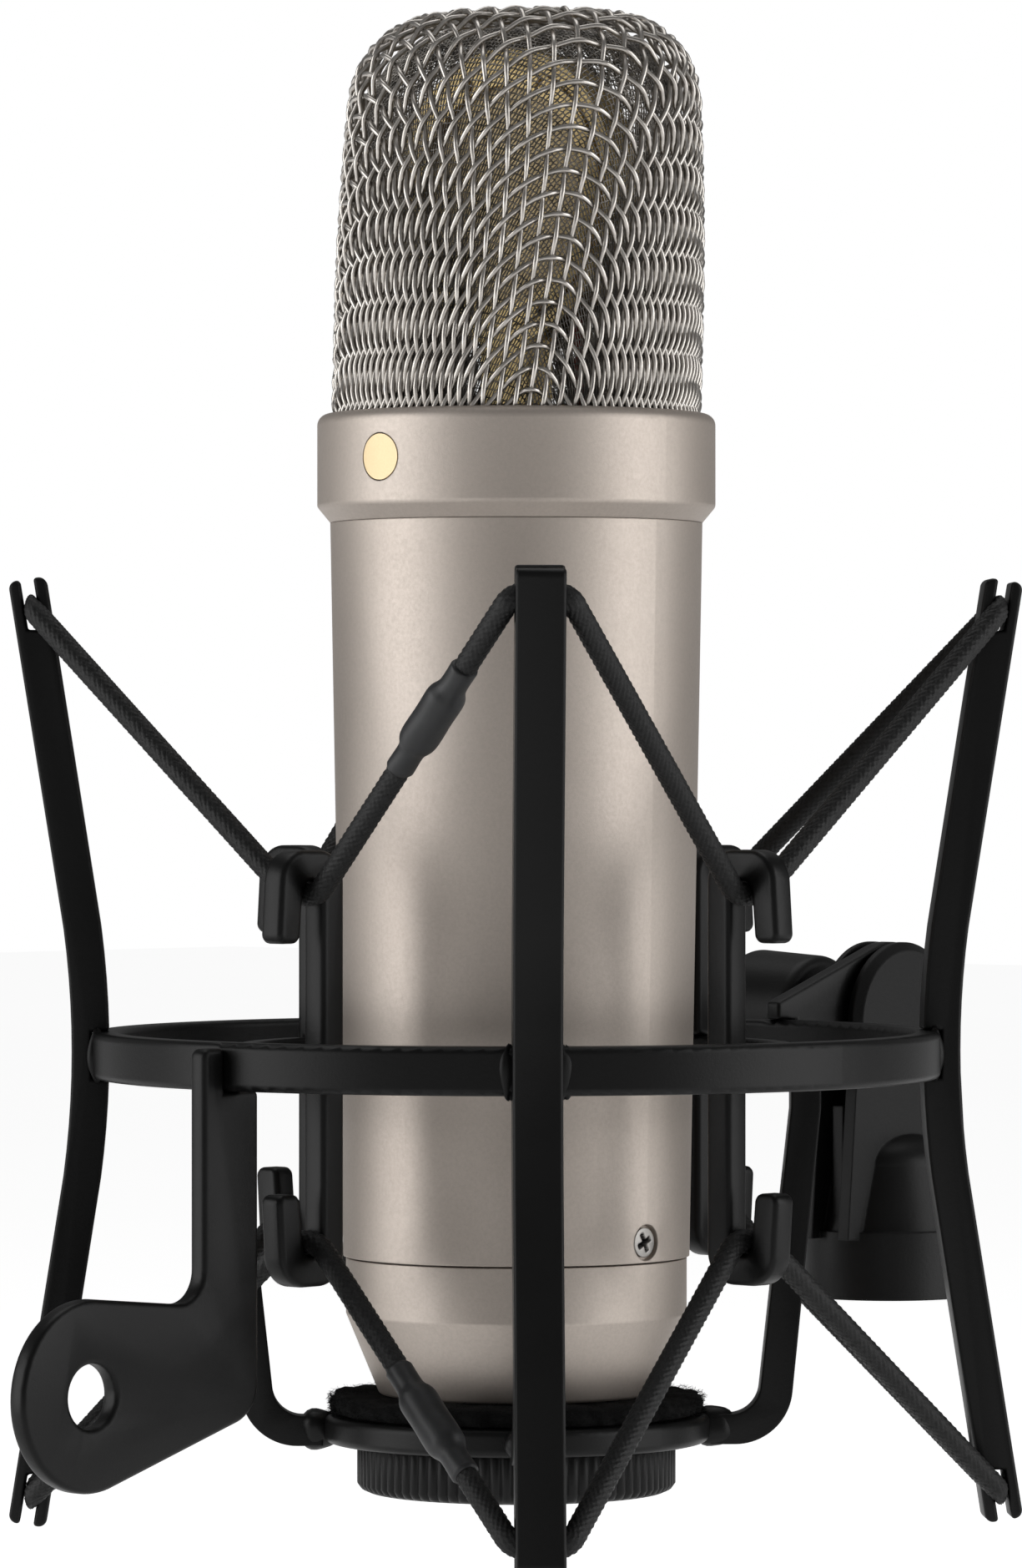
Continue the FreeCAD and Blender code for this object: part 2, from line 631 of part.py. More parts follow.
RING_TOP = "ring_bottom_z + ring_tall"


def outer_ring():
    body = revolved("outer_ring", ring_points("ring_inner", "ring_outer", "ring_bottom_z", RING_TOP))
    rims = [(edge, level) for edge in ("ring_inner", "ring_outer")
            for level in ("ring_bottom_z", RING_TOP)]
    rounded_rims(body, "0.8", rims)
    keep(body)


def prong(label, azimuth):
    """A flat bar bent outwards above and below the ring, with a cord slot in each end."""
    lean = "(prong_end_radius - prong_vertex_radius) / prong_half"
    drop = f"prong_thick * {lean}"

    def end(sign, side):
        """An end corner: side 1 is the outer face, side 0 the inner face."""
        level = f"prong_mid_z + ({sign}) * (prong_half + {1 - side} * {drop})"
        return f"prong_end_radius - {1 - side} * prong_thick", level

    outline = [end(-1, 0), end(-1, 1), ("prong_vertex_radius", "prong_mid_z"), end(1, 1),
               end(1, 0), ("prong_vertex_radius - prong_thick", "prong_mid_z")]
    body = new_body(label)
    padded(body, add_polygon(new_sketch(body, "XZ_Plane"), outline), "prong_wide")
    rounded(body, "prong_bend", [outline[2]])
    rounded(body, "prong_bend + prong_thick", [outline[5]])
    rounded(body, "1.1", [outline[0], outline[1], outline[3], outline[4]])
    slots = new_sketch(body, "XZ_Plane")
    for sign in (-1, 1):
        middle = "prong_end_radius - prong_thick / 2"
        deep = f"{middle} - slot_deep * {lean}"
        out = f"{middle} + 3 * {lean}"
        floor = f"prong_mid_z + ({sign}) * (prong_half - slot_deep)"
        mouth = f"prong_mid_z + ({sign}) * (prong_half + 3)"
        add_polygon(slots, [(f"{deep} - slot_wide / 2", floor), (f"{deep} + slot_wide / 2", floor),
                            (f"{out} + slot_wide / 2", mouth), (f"{out} - slot_wide / 2", mouth)])
    pocketed(body, slots)
    add_notch(body, "ring_inner - 3", "ring_outer + gap", "ring_bottom_z - gap", f"{RING_TOP} + gap")
    keep(body, azimuth)


def pop_filter_lug():
    """The plate in the frame's front plane that carries a pop filter on a round lobe."""
    gap_low = "ring_bottom_z - gap"
    strip = [
        ("lug_inner", gap_low), ("lug_inner", "lug_heel_z"),
        ("lug_centre - 0.289 * lug_radius", "lug_z - 0.957 * lug_radius"), ("lug_centre", "lug_z"),
        ("lug_centre - 0.0985 * lug_radius", "lug_z + 0.995 * lug_radius"),
        ("lug_strip_outer", "lug_step_z"), ("lug_strip_outer", "lug_tab_z"),
        ("ring_outer + gap", "lug_tab_z"), ("ring_outer + gap", gap_low)]
    body = new_body("pop_filter_lug")
    padded(body, add_polygon(new_sketch(body, "XZ_Plane"), strip), "lug_thick")
    rounded(body, "5", [strip[1]])
    rounded(body, "4", [strip[5]])
    rounded(body, "1.2", [strip[6]])
    lobe = add_circle(new_sketch(body, "XZ_Plane"), ("lug_centre", "lug_z"), "lug_radius")
    padded(body, lobe, "lug_thick")
    hole = add_circle(new_sketch(body, "XZ_Plane"), ("lug_centre", "lug_z"), "lug_hole_radius")
    pocketed(body, hole)
    keep(body, -90)


# ---- elastic cords --------------------------------------------------------------------------

def polar(radius, azimuth, aside, height):
    """A point at an azimuth, moved sideways round the axis."""
    turn = math.radians(azimuth)
    return FreeCAD.Vector(radius * math.cos(turn) - aside * math.sin(turn),
                          radius * math.sin(turn) + aside * math.cos(turn), height)


def cord_and_sleeve(name, flip):
    """One closed loop of cord, prong slot to hook and back, and the sleeve over its joint."""
    mid_slot = value_of("prong_mid_z")
    mid_hook = value_of("cradle_mid_z")
    slot_z = mid_slot + flip * (value_of("cord_slot_z") - mid_slot)
    hook_z = mid_hook + flip * (value_of("cord_hook_z") - mid_hook)
    radius = value_of("cord_radius")
    slot_radius = value_of("prong_end_radius - prong_thick / 2 - cord_slot_inset")
    hook_radius = value_of("cord_hook_radius")
    slot_side = value_of("cord_slot_side")
    hook_side = value_of("cord_hook_side")
    pieces = []
    for azimuth in (45, 135, 225, 315):
        left = polar(slot_radius, azimuth, -slot_side, slot_z)
        right = polar(slot_radius, azimuth, slot_side, slot_z)
        pieces += [rod(left, right, value_of("cord_thin"))]
        pieces += [Part.makeSphere(radius, point) for point in (left, right)]
        hook = azimuth + 45
        near = polar(hook_radius, hook, -hook_side, hook_z)
        far = polar(hook_radius, hook, hook_side, hook_z)
        pieces += [Part.makeSphere(radius, point) for point in (near, far)]
        pieces += [rod(near, far, radius), rod(right, near, radius)]
        pieces += [rod(far, polar(slot_radius, azimuth + 90, -slot_side, slot_z), radius)]
    solid_feature(f"{name}_cord", pieces[0].fuse(pieces[1:]))
    start = polar(hook_radius, 270, hook_side, hook_z)
    end = polar(slot_radius, 315, -slot_side, slot_z)
    along = (end - start).normalize()
    centre = start + (end - start) * value_of("sleeve_place")
    reach = value_of("sleeve_long") / 2
    outer = rod(centre - along * reach, centre + along * reach, value_of("sleeve_radius"))
    bore = rod(start, end, value_of("cord_radius + gap"))
    solid_feature(f"{name}_cord_sleeve", outer.cut(bore))


# ---- swivel and stand adapter ---------------------------------------------------------------

def swivel_bracket():
    """The tongue: a plate let over the ring, rising to a round hub between the cheeks."""
    body = new_body("swivel_bracket")
    plate = [
        ("ring_inner", f"{RING_TOP} + gap"), ("ring_inner", f"{RING_TOP} + 2.4"),
        ("hub_y - hub_radius * 0.352", "hub_z + hub_radius * 0.936"), ("hub_y", "hub_z"),
        ("hub_y - hub_radius * 0.352", "hub_z - hub_radius * 0.936"),
        ("ring_outer + 4", "ring_bottom_z - 1"), ("ring_outer + gap", "ring_bottom_z + 1"),
        ("ring_outer + gap", f"{RING_TOP} + gap")]
    padded(body, add_polygon(new_sketch(body, "YZ_Plane"), plate), "tongue_thick")
    hub = add_circle(new_sketch(body, "YZ_Plane"), ("hub_y", "hub_z"), "hub_radius")
    padded(body, hub, "tongue_thick")
    hole = add_circle(new_sketch(body, "YZ_Plane"), ("hub_y", "hub_z"), "bolt_radius + gap")
    pocketed(body, hole)
    keep(body)


def hub_point(x, aside=0.0, height=None):
    """A point by its distance along the hinge and from the stand's axis."""
    level = value_of("hub_z") if height is None else height
    return FreeCAD.Vector(x, value_of("hub_y") + aside, level)


def pivot_washers():
    solids = []
    for side in (-1, 1):
        inner = hub_point(side * value_of("tongue_thick / 2 + gap"))
        outer = hub_point(side * value_of("cheek_inner - gap"))
        solids.append(rod(inner, outer, value_of("washer_radius")).cut(
            rod(inner, outer, value_of("bolt_radius + gap"))))
    solid_feature("pivot_washers", Part.makeCompound(solids))


def cheek(side):
    """One side plate of the fork: a round hub that widens down to the threaded base."""
    near = side * value_of("cheek_inner")
    far = side * value_of("cheek_outer")
    low_x, high_x = sorted((near, far))
    disc = rod(hub_point(near), hub_point(far), value_of("hub_radius"))
    outer_rim = [edge for edge in disc.Edges if isinstance(edge.Curve, Part.Circle)
                 and abs(edge.Curve.Center.x - far) < 1e-6]
    disc = disc.makeChamfer(1.1, outer_rim)
    level = value_of("hub_z")
    low = value_of("band_top_z") - 1
    corners = [hub_point(low_x, -value_of("hub_radius * 0.985"), level - 2),
               hub_point(low_x, -value_of("cheek_half_low"), low),
               hub_point(low_x, value_of("cheek_half_low"), low),
               hub_point(low_x, value_of("hub_radius * 0.985"), level - 2)]
    face = Part.Face(Part.makePolygon(corners + corners[:1]))
    plate = face.extrude(FreeCAD.Vector(high_x - low_x, 0, 0))
    return disc.fuse(plate)


def stand_adapter():
    base = hub_point(0, 0, value_of("band_z"))
    up = FreeCAD.Vector(0, 0, 1)
    band_tall = value_of("band_top_z - band_z")
    band = Part.makeCylinder(value_of("band_radius"), band_tall, base, up)
    bell_low = hub_point(0, 0, value_of("band_top_z"))
    bell_radius = value_of("bell_radius")
    dome_z = value_of("bell_top_z") - 0.55 * bell_radius
    bell = Part.makeCone(value_of("band_radius - 0.7"), bell_radius, dome_z - bell_low.z, bell_low, up)
    dome = Part.makeSphere(1, FreeCAD.Vector(0, 0, 0)).transformGeometry(FreeCAD.Matrix(
        bell_radius, 0, 0, 0, 0, bell_radius, 0, value_of("hub_y"),
        0, 0, 0.55 * bell_radius, dome_z, 0, 0, 0, 1))
    web_low = hub_point(-value_of("web_half"), -value_of("web_front"), value_of("band_top_z"))
    web_high = hub_point(value_of("web_half"), value_of("web_front"), value_of("web_top_z"))
    sweep = rod(hub_point(-value_of("web_half")), hub_point(value_of("web_half")),
                value_of("hub_radius + web_clearance"))
    web = block(web_low, web_high).cut(sweep)
    body = band.fuse([bell, dome, web, cheek(-1), cheek(1)])
    seat = Part.makeCylinder(value_of("insert_radius + gap"), value_of("thread_long + gap"), base, up)
    body = body.cut(seat).removeSplitter()
    hinge_hole = rod(hub_point(-8), hub_point(value_of("cheek_outer - 0.6")),
                     value_of("bolt_radius + gap"))
    solid_feature("stand_adapter", body.cut(hinge_hole))
    ring = Part.makeCylinder(value_of("insert_radius"), value_of("thread_long"), base, up)
    bore = Part.makeCylinder(value_of("thread_radius"), value_of("thread_long"), base, up)
    solid_feature("thread_insert", ring.cut(bore))


def lock_knob():
    """A flared clamping knob, and the threaded stud moulded into it."""
    near = value_of("knob_near")
    far = value_of("knob_far")
    neck_end = value_of("cheek_outer + 0.15")
    left = FreeCAD.Vector(-1, 0, 0)
    flare = Part.makeCone(value_of("knob_small"), value_of("knob_large"), far - near,
                          hub_point(-near), left)
    rims = [edge for edge in flare.Edges if isinstance(edge.Curve, Part.Circle)]
    flare = flare.makeFillet(1.6, rims)
    neck = rod(hub_point(-neck_end), hub_point(-near - 2), value_of("knob_neck"))
    knob = flare.fuse(neck)
    stud_far = -(near + 7)
    stud_near = value_of("cheek_outer - 0.7")
    seat = rod(hub_point(stud_far), hub_point(0), value_of("bolt_radius + gap"))
    solid_feature("lock_knob", knob.cut(seat).removeSplitter())
    stud = rod(hub_point(stud_far + 0.1), hub_point(stud_near), value_of("bolt_radius"))
    solid_feature("clamp_stud", stud)


# ---- assembly -------------------------------------------------------------------------------

def build():
    tail_housing()
    body_tube()
    head_collar()
    front_dot()
    body_seat = "tube_bottom_radius - screw_head_depth + gap"
    side_screws("body_screws", "screw_z", body_seat, "rail_x + 0.4")
    chassis_seat = "collar_spigot_radius - chassis_head_depth"
    side_screws("chassis_screws", "chassis_screw_z", chassis_seat, "rail_x + 0.4")
    head_mesh()
    capsule()
    capsule_mount()
    electronics()
    wires()
    cable_socket()
    cradle_ring()
    for azimuth, place in ((0, "right"), (90, "rear"), (180, "left"), (270, "front")):
        hook_bar(f"hook_bar_{place}", azimuth)
    corners = ((45, "rear_right"), (135, "rear_left"), (225, "front_left"), (315, "front_right"))
    for azimuth, place in corners:
        cradle_arm(f"cradle_arm_{place}", azimuth)
        prong(f"prong_{place}", azimuth)
    base_plate()
    outer_ring()
    pop_filter_lug()
    cord_and_sleeve("upper", 1)
    cord_and_sleeve("lower", -1)
    swivel_bracket()
    pivot_washers()
    stand_adapter()
    lock_knob()


def verify():
    doc.recompute()
    for item in doc.Objects:
        if "Invalid" in item.State or "Error" in item.State:
            raise RuntimeError(f"{item.Label} failed: {item.State}")
    for piece in finished:
        if piece.Shape.isNull() or not piece.Shape.isValid() or not piece.Shape.Solids:
            raise RuntimeError(f"{piece.Label} has no valid solid")


def write():
    os.makedirs("parts", exist_ok=True)
    for piece in finished:
        piece.Shape.exportStep(f"parts/{piece.Label}.step")
    print(f"{len(finished)} pieces written")


build()
verify()
write()
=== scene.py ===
"""Looks for the condenser microphone: woven grille, braided cords, felt, finishes, light."""
import json
import math

import bmesh
import bpy
import numpy as np
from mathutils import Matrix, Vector


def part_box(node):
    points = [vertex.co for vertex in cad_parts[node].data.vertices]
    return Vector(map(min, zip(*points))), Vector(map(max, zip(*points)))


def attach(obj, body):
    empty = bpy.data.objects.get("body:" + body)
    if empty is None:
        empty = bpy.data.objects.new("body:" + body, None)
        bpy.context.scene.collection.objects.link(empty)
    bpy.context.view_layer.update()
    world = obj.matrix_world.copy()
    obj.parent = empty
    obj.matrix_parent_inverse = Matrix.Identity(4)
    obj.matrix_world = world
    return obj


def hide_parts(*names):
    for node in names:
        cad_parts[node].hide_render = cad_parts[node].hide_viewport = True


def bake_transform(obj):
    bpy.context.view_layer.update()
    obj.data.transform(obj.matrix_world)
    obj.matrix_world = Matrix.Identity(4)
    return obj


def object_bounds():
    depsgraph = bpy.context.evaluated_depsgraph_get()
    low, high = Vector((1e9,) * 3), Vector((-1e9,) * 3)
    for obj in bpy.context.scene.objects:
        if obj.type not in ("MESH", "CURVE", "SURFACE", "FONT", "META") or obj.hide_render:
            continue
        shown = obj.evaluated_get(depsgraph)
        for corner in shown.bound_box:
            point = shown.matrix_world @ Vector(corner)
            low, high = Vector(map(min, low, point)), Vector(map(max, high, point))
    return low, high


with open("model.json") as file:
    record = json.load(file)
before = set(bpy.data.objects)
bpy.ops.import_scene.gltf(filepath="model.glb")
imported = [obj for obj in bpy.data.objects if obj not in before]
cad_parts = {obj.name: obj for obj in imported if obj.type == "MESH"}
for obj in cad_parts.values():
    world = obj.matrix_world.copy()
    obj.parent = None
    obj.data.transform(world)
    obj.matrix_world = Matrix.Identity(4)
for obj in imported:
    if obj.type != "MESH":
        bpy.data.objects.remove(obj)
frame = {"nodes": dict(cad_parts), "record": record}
cad_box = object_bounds()
MM = 0.001
VIEW_AZIMUTH = math.radians(42.4)


# ---- materials ------------------------------------------------------------------------------

class Shader:
    """A node material with short calls for the nodes used here."""

    def __init__(self, name):
        self.material = bpy.data.materials.new(name)
        self.material.use_nodes = True
        self.tree = self.material.node_tree
        self.surface = self.tree.nodes["Principled BSDF"]
        self.place = self.add("ShaderNodeTexCoord").outputs["Object"]

    def add(self, kind, inputs=None, **settings):
        node = self.tree.nodes.new(kind)
        for key, value in settings.items():
            setattr(node, key, value)
        for key, value in (inputs or {}).items():
            self.feed(node.inputs[key], value)
        return node

    def feed(self, socket, value):
        if isinstance(value, bpy.types.NodeSocket):
            self.tree.links.new(value, socket)
        else:
            socket.default_value = value

    def set(self, **values):
        for key, value in values.items():
            self.feed(self.surface.inputs[key.replace("_", " ")], value)
        return self

    def noise(self, scale, detail=3.0, rough=0.6, stretch=(1, 1, 1)):
        mapping = self.add("ShaderNodeMapping", {"Vector": self.place, "Scale": stretch})
        node = self.add("ShaderNodeTexNoise", {"Vector": mapping.outputs[0], "Scale": scale,
                                               "Detail": detail, "Roughness": rough})
        return node.outputs["Fac"]

    def span(self, factor, low, high, start=0.0, stop=1.0):
        """A factor between start and stop turned into a number between low and high."""
        node = self.add("ShaderNodeMapRange", {"Value": factor, "From Min": start, "From Max": stop,
                                               "To Min": low, "To Max": high})
        return node.outputs["Result"]

    def ramp(self, factor, *stops):
        node = self.add("ShaderNodeValToRGB", {"Fac": factor})
        band = node.color_ramp
        while len(band.elements) < len(stops):
            band.elements.new(0.5)
        for element, (place, colour) in zip(band.elements, stops):
            element.position = place
            element.color = (*colour, 1)
        return node.outputs["Color"]

    def bump(self, height, strength, distance, below=None):
        inputs = {"Height": height, "Strength": strength, "Distance": distance}
        if below is not None:
            inputs["Normal"] = below
        return self.add("ShaderNodeBump", inputs).outputs["Normal"]

    def edge(self, radius):
        """The surface normal with its sharp edges eased over a small radius."""
        return self.add("ShaderNodeBevel", {"Radius": radius}, samples=4).outputs["Normal"]


def satin_nickel():
    """Bead-blasted champagne nickel: fine grain, faint drift in tone and gloss."""
    shader = Shader("satin_nickel")
    drift = shader.noise(35, 2.0)
    grain = shader.noise(5200, 2.0, 0.7)
    speck = shader.noise(2100, 3.0, 0.7)
    tone = shader.ramp(drift, (0.3, (0.475, 0.420, 0.375)), (0.7, (0.505, 0.450, 0.405)))
    fine = shader.add("ShaderNodeMix", {"Factor": shader.span(speck, 0.0, 0.16, 0.35, 0.65),
                                        "A": tone, "B": (0.33, 0.30, 0.265, 1)}, data_type="RGBA")
    rough = shader.span(speck, 0.50, 0.57, 0.3, 0.7)
    normal = shader.bump(grain, 0.22, 0.00006, shader.edge(0.00025))
    return shader.set(Base_Color=fine.outputs["Result"], Metallic=1.0, Roughness=rough,
                      Normal=normal).material


def drawn_wire(name, light, dark, rough):
    """Nickel-plated wire with draw marks and a random mottle from a light to a dark tone."""
    shader = Shader(name)
    mottle = shader.noise(420, 3.0)
    fine = shader.noise(6000, 2.0, 0.6, (1, 1, 0.15))
    tone = shader.ramp(mottle, (0.32, dark), (0.66, light))
    return shader.set(Base_Color=tone, Metallic=1.0, Roughness=shader.span(fine, rough, rough + 0.12),
                      Normal=shader.bump(fine, 0.15, 0.00003)).material


def powder_coat(name="powder_coat", tone=0.0022, rough=0.33, grain=2600, strength=0.16):
    """Satin black coat with a fine pebble texture and slightly burnished patches."""
    shader = Shader(name)
    pebble = shader.noise(grain, 3.0, 0.65)
    patch = shader.noise(60, 2.0)
    colour = shader.ramp(patch, (0.3, (tone * 0.8,) * 3), (0.75, (tone * 1.25,) * 3))
    normal = shader.bump(pebble, strength, 0.00012, shader.edge(0.0004))
    return shader.set(Base_Color=colour, Roughness=shader.span(patch, rough, rough + 0.1),
                      Specular_IOR_Level=0.2, Normal=normal).material


def braid_fabric():
    shader = Shader("braided_cord")
    yarn = shader.noise(3800, 3.0, 0.7)
    colour = shader.ramp(yarn, (0.35, (0.0012, 0.0012, 0.0012)), (0.8, (0.014, 0.014, 0.014)))
    return shader.set(Base_Color=colour, Roughness=0.5, Specular_IOR_Level=0.3, Sheen_Weight=0.02,
                      Sheen_Roughness=0.4, Normal=shader.bump(yarn, 0.6, 0.00012)).material


def shrink_sleeve():
    shader = Shader("shrink_sleeve")
    crease = shader.noise(480, 3.0)
    fine = shader.noise(3000, 2.0)
    colour = shader.ramp(crease, (0.3, (0.006, 0.0062, 0.0067)), (0.7, (0.010, 0.0104, 0.0115)))
    normal = shader.bump(fine, 0.15, 0.00008, shader.bump(crease, 0.3, 0.0002))
    return shader.set(Base_Color=colour, Roughness=0.5, Normal=normal).material


def felt_fibre():
    shader = Shader("felt")
    fibre = shader.noise(2600, 5.0, 0.8)
    colour = shader.ramp(fibre, (0.35, (0.001, 0.001, 0.001)), (0.8, (0.011, 0.011, 0.0112)))
    return shader.set(Base_Color=colour, Roughness=0.95, Specular_IOR_Level=0.08, Sheen_Weight=0.02,
                      Normal=shader.bump(fibre, 0.8, 0.0004)).material


def gold(name="gold", light=(0.44, 0.345, 0.20), rough=0.34):
    shader = Shader(name)
    film = shader.noise(700, 2.0)
    tone = shader.ramp(film, (0.3, tuple(0.93 * part for part in light)), (0.7, light))
    return shader.set(Base_Color=tone, Metallic=1.0, Roughness=shader.span(film, rough, rough + 0.08),
                      Normal=shader.bump(film, 0.06, 0.00004)).material


def dot_gold():
    """The pale satin inlay on the collar."""
    shader = Shader("dot_gold")
    grain = shader.noise(4200, 2.0)
    tone = shader.ramp(grain, (0.3, (0.80, 0.62, 0.36)), (0.7, (0.84, 0.66, 0.40)))
    return shader.set(Base_Color=tone, Metallic=0.35, Roughness=0.45,
                      Normal=shader.bump(grain, 0.1, 0.00004)).material


def plain(name, colour, rough=0.45, metal=0.0, scale=1200, coat=0.0):
    """A small inner part: colour with fine mottling, gloss variation and texture."""
    shader = Shader(name)
    mottle = shader.noise(scale, 3.0)
    tone = shader.ramp(mottle, (0.3, tuple(0.82 * part for part in colour)), (0.7, colour))
    return shader.set(Base_Color=tone, Metallic=metal, Coat_Weight=coat,
                      Roughness=shader.span(mottle, rough, rough + 0.15),
                      Normal=shader.bump(mottle, 0.12, 0.00006)).material


NICKEL = satin_nickel()
WIRE = drawn_wire("grille_wire", (0.60, 0.565, 0.525), (0.40, 0.375, 0.345), 0.24)
# The fine screen's wire is a darker copy of the grille's nickel wire: painted shade for the screen
# inside the grille.
PAINTED_SHADE_FINE_WIRE = drawn_wire("fine_wire_painted_shade", (0.40, 0.375, 0.345), (0.08, 0.074, 0.067), 0.3)
COAT = powder_coat()
PLASTIC = powder_coat("moulded_black", 0.0045, 0.36, 1900, 0.2)
SLEEVE = shrink_sleeve()
BRAID = braid_fabric()
FELT = felt_fibre()
GOLD = gold()
BRASS = gold("machined_brass", (0.72, 0.55, 0.27), 0.28)
STEEL = plain("zinc_steel", (0.40, 0.385, 0.365), 0.36, 1.0)

SLOT_LOOKS = {
    "satin_nickel": NICKEL, "wire_nickel": WIRE, "black_frame": COAT, "black_plastic": PLASTIC,
    "cord": BRAID, "sleeve": SLEEVE, "felt": FELT, "gold": GOLD, "brass": BRASS, "steel": STEEL,
    "rubber": plain("soft_rubber_and_recess_shade", (0.03, 0.03, 0.03), 0.6),
    "board": plain("circuit_board", (0.03, 0.16, 0.07), 0.35, coat=0.3),
    "component": plain("component_case", (0.16, 0.11, 0.05), 0.35),
    "wire": plain("wire_insulation", (0.42, 0.04, 0.03), 0.4),
    "nylon": plain("natural_nylon", (0.62, 0.61, 0.56), 0.4),
}
SLOT_OF = {part["node"]: part["material_slot"] for part in frame["record"]["subparts"]}
BODIES = frame["record"]["behaviour"]["bodies"]
BODY_OF = {node: body for body, nodes in BODIES.items() for node in nodes}
EASED = (("prong_", 0.8 * MM), ("hook_bar_", 0.75 * MM), ("cradle_arm_", 1.0 * MM),
         ("pop_filter_lug", 0.7 * MM), ("swivel_bracket", 0.5 * MM))


def paint_cad_nodes():
    for name, piece in frame["nodes"].items():
        look = dot_gold() if name == "front_dot" else SLOT_LOOKS[SLOT_OF[name]]
        piece.data.materials.clear()
        piece.data.materials.append(look)


# ---- mesh helpers ---------------------------------------------------------------------------

def mesh_piece(name, points, faces, look):
    """A smooth-shaded mesh object from points in metres."""
    mesh = bpy.data.meshes.new(name)
    mesh.from_pydata([tuple(point) for point in points], [], faces)
    mesh.update()
    mesh.polygons.foreach_set("use_smooth", [True] * len(mesh.polygons))
    mesh.materials.append(look)
    piece = bpy.data.objects.new(name, mesh)
    bpy.context.collection.objects.link(piece)
    return piece


def finish_piece(piece, body, slot, *nodes):
    """Ride the piece on its body and hide the CAD nodes it replaces. The slot is not used."""
    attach(piece, body)
    if nodes:
        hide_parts(*nodes)


def unit(rows):
    return rows / np.maximum(np.linalg.norm(rows, axis=-1, keepdims=True), 1e-12)


def path_frames(path, closed):
    """Two cross directions that turn as little as possible along a path."""
    if closed:
        tangent = unit(np.roll(path, -1, 0) - np.roll(path, 1, 0))
    else:
        tangent = unit(np.gradient(path, axis=0))
    across = np.zeros_like(path)
    start = np.array([0.0, 0.0, 1.0]) if abs(tangent[0][2]) < 0.8 else np.array([1.0, 0.0, 0.0])
    across[0] = unit(start - tangent[0] * start.dot(tangent[0]))
    for index in range(1, len(path)):
        step = across[index - 1] - tangent[index] * across[index - 1].dot(tangent[index])
        across[index] = unit(step)
    return across, np.cross(tangent, across)


def cross_section(path, sides, closed=False, wide=1.0, tall=1.0):
    """The angles of a round section, and its unit rings at every point of a path."""
    across, up = path_frames(path, closed)
    angles = np.arange(sides) * 2 * math.pi / sides
    rings = (np.cos(angles)[None, :, None] * across[:, None] * wide
             + np.sin(angles)[None, :, None] * up[:, None] * tall)
    return angles, rings


def ring_faces(rings, sides, closed):
    """Faces between neighbouring rings of points, the last joined to the first if closed."""
    faces = []
    count = rings if closed else rings - 1
    for ring in range(count):
        low = ring * sides
        high = ((ring + 1) % rings) * sides
        for side in range(sides):
            after = (side + 1) % sides
            faces.append((low + side, low + after, high + after, high + side))
    return faces


def capped_faces(rings, sides):
    """Faces between rings of points, with a cap on each end."""
    faces = ring_faces(rings, sides, False)
    faces.append(tuple(range(sides - 1, -1, -1)))
    faces.append(tuple(range((rings - 1) * sides, rings * sides)))
    return faces


def tube(path, radius, sides):
    """Points and faces of a round bar along an open path, with capped ends."""
    _, rings = cross_section(path, sides)
    points = (path[:, None] + radius * rings).reshape(-1, 3)
    return points, capped_faces(len(path), sides)


def joined(parts):
    """Several (points, faces) sets as one."""
    points = []
    faces = []
    offset = 0
    for some_points, some_faces in parts:
        points.append(some_points)
        faces += [tuple(index + offset for index in face) for face in some_faces]
        offset += len(some_points)
    return np.concatenate(points), faces


def spline(knots, steps):
    """A smooth open curve through the knots."""
    padded = np.vstack([2 * knots[0] - knots[1], knots, 2 * knots[-1] - knots[-2]])
    shares = np.arange(steps) / steps
    curve = []
    for index in range(1, len(padded) - 2):
        a, b, c, d = padded[index - 1:index + 3]
        for share in shares:
            curve.append(0.5 * (2 * b + (c - a) * share + (2 * a - 5 * b + 4 * c - d) * share ** 2
                                + (3 * b - a - 3 * c + d) * share ** 3))
    curve.append(padded[-2])
    return np.array(curve)


def lathe(outline, segments, radius_at=None):
    """A ring turned from a closed (radius, height) outline about the Z axis."""
    points = []
    for index in range(segments):
        angle = 2 * math.pi * index / segments
        for spot, (radius, height) in enumerate(outline):
            if radius_at:
                radius = radius_at(spot, radius, angle)
            points.append((radius * math.cos(angle), radius * math.sin(angle), height))
    return np.array(points), ring_faces(segments, len(outline), True)


# ---- the head's wire grille -----------------------------------------------------------------

WIRE_RADIUS = 0.34 * MM
RIDGE_STEP = 2.8 * MM
SIDE_STEP = 2.6 * MM
SIDE_GROWTH = 0.046 * MM
CROWN_CELLS = 9
CROWN_DEPTH = 0.765 * CROWN_CELLS * RIDGE_STEP
RIDGE_OFFSET = math.radians(1.2)
RIDGE_LEAN = math.radians(17)
HEAD_LEAN = 1.3 * MM
HEAD_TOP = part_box("outer_mesh")[1].z
COLLAR_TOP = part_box("head_collar")[1].z
HEAD_CORNER = 10.6 * MM
DRAW_START = HEAD_TOP - 36.8 * MM
DRAW_DEPTH = 3.4 * MM
DRAW_POWER = 1.7
NET_REACH = 29
SCREEN_INSET = 2.75 * MM
SCREEN_WIRE = 0.105 * MM
SCREEN_WOBBLE = 0.09 * MM
SCREEN_SPLITS = 6


def head_half_sizes(height, inset):
    """Half width and half depth of the grille's wire surface at a height, as arrays."""
    top = HEAD_TOP - inset
    full = 24.5 * MM - inset
    rise = np.clip(height - (top - HEAD_CORNER), 0, HEAD_CORNER * 0.9999)
    turn = HEAD_CORNER - np.sqrt(HEAD_CORNER ** 2 - rise ** 2)
    share = np.clip((height - DRAW_START) / (top - DRAW_START), 0, 1)
    drawn = share ** DRAW_POWER
    across = full - 0.25 * MM - 0.5 * MM * drawn - turn
    deep = full - 0.3 * MM - DRAW_DEPTH * drawn - 0.8 * turn
    return across, deep


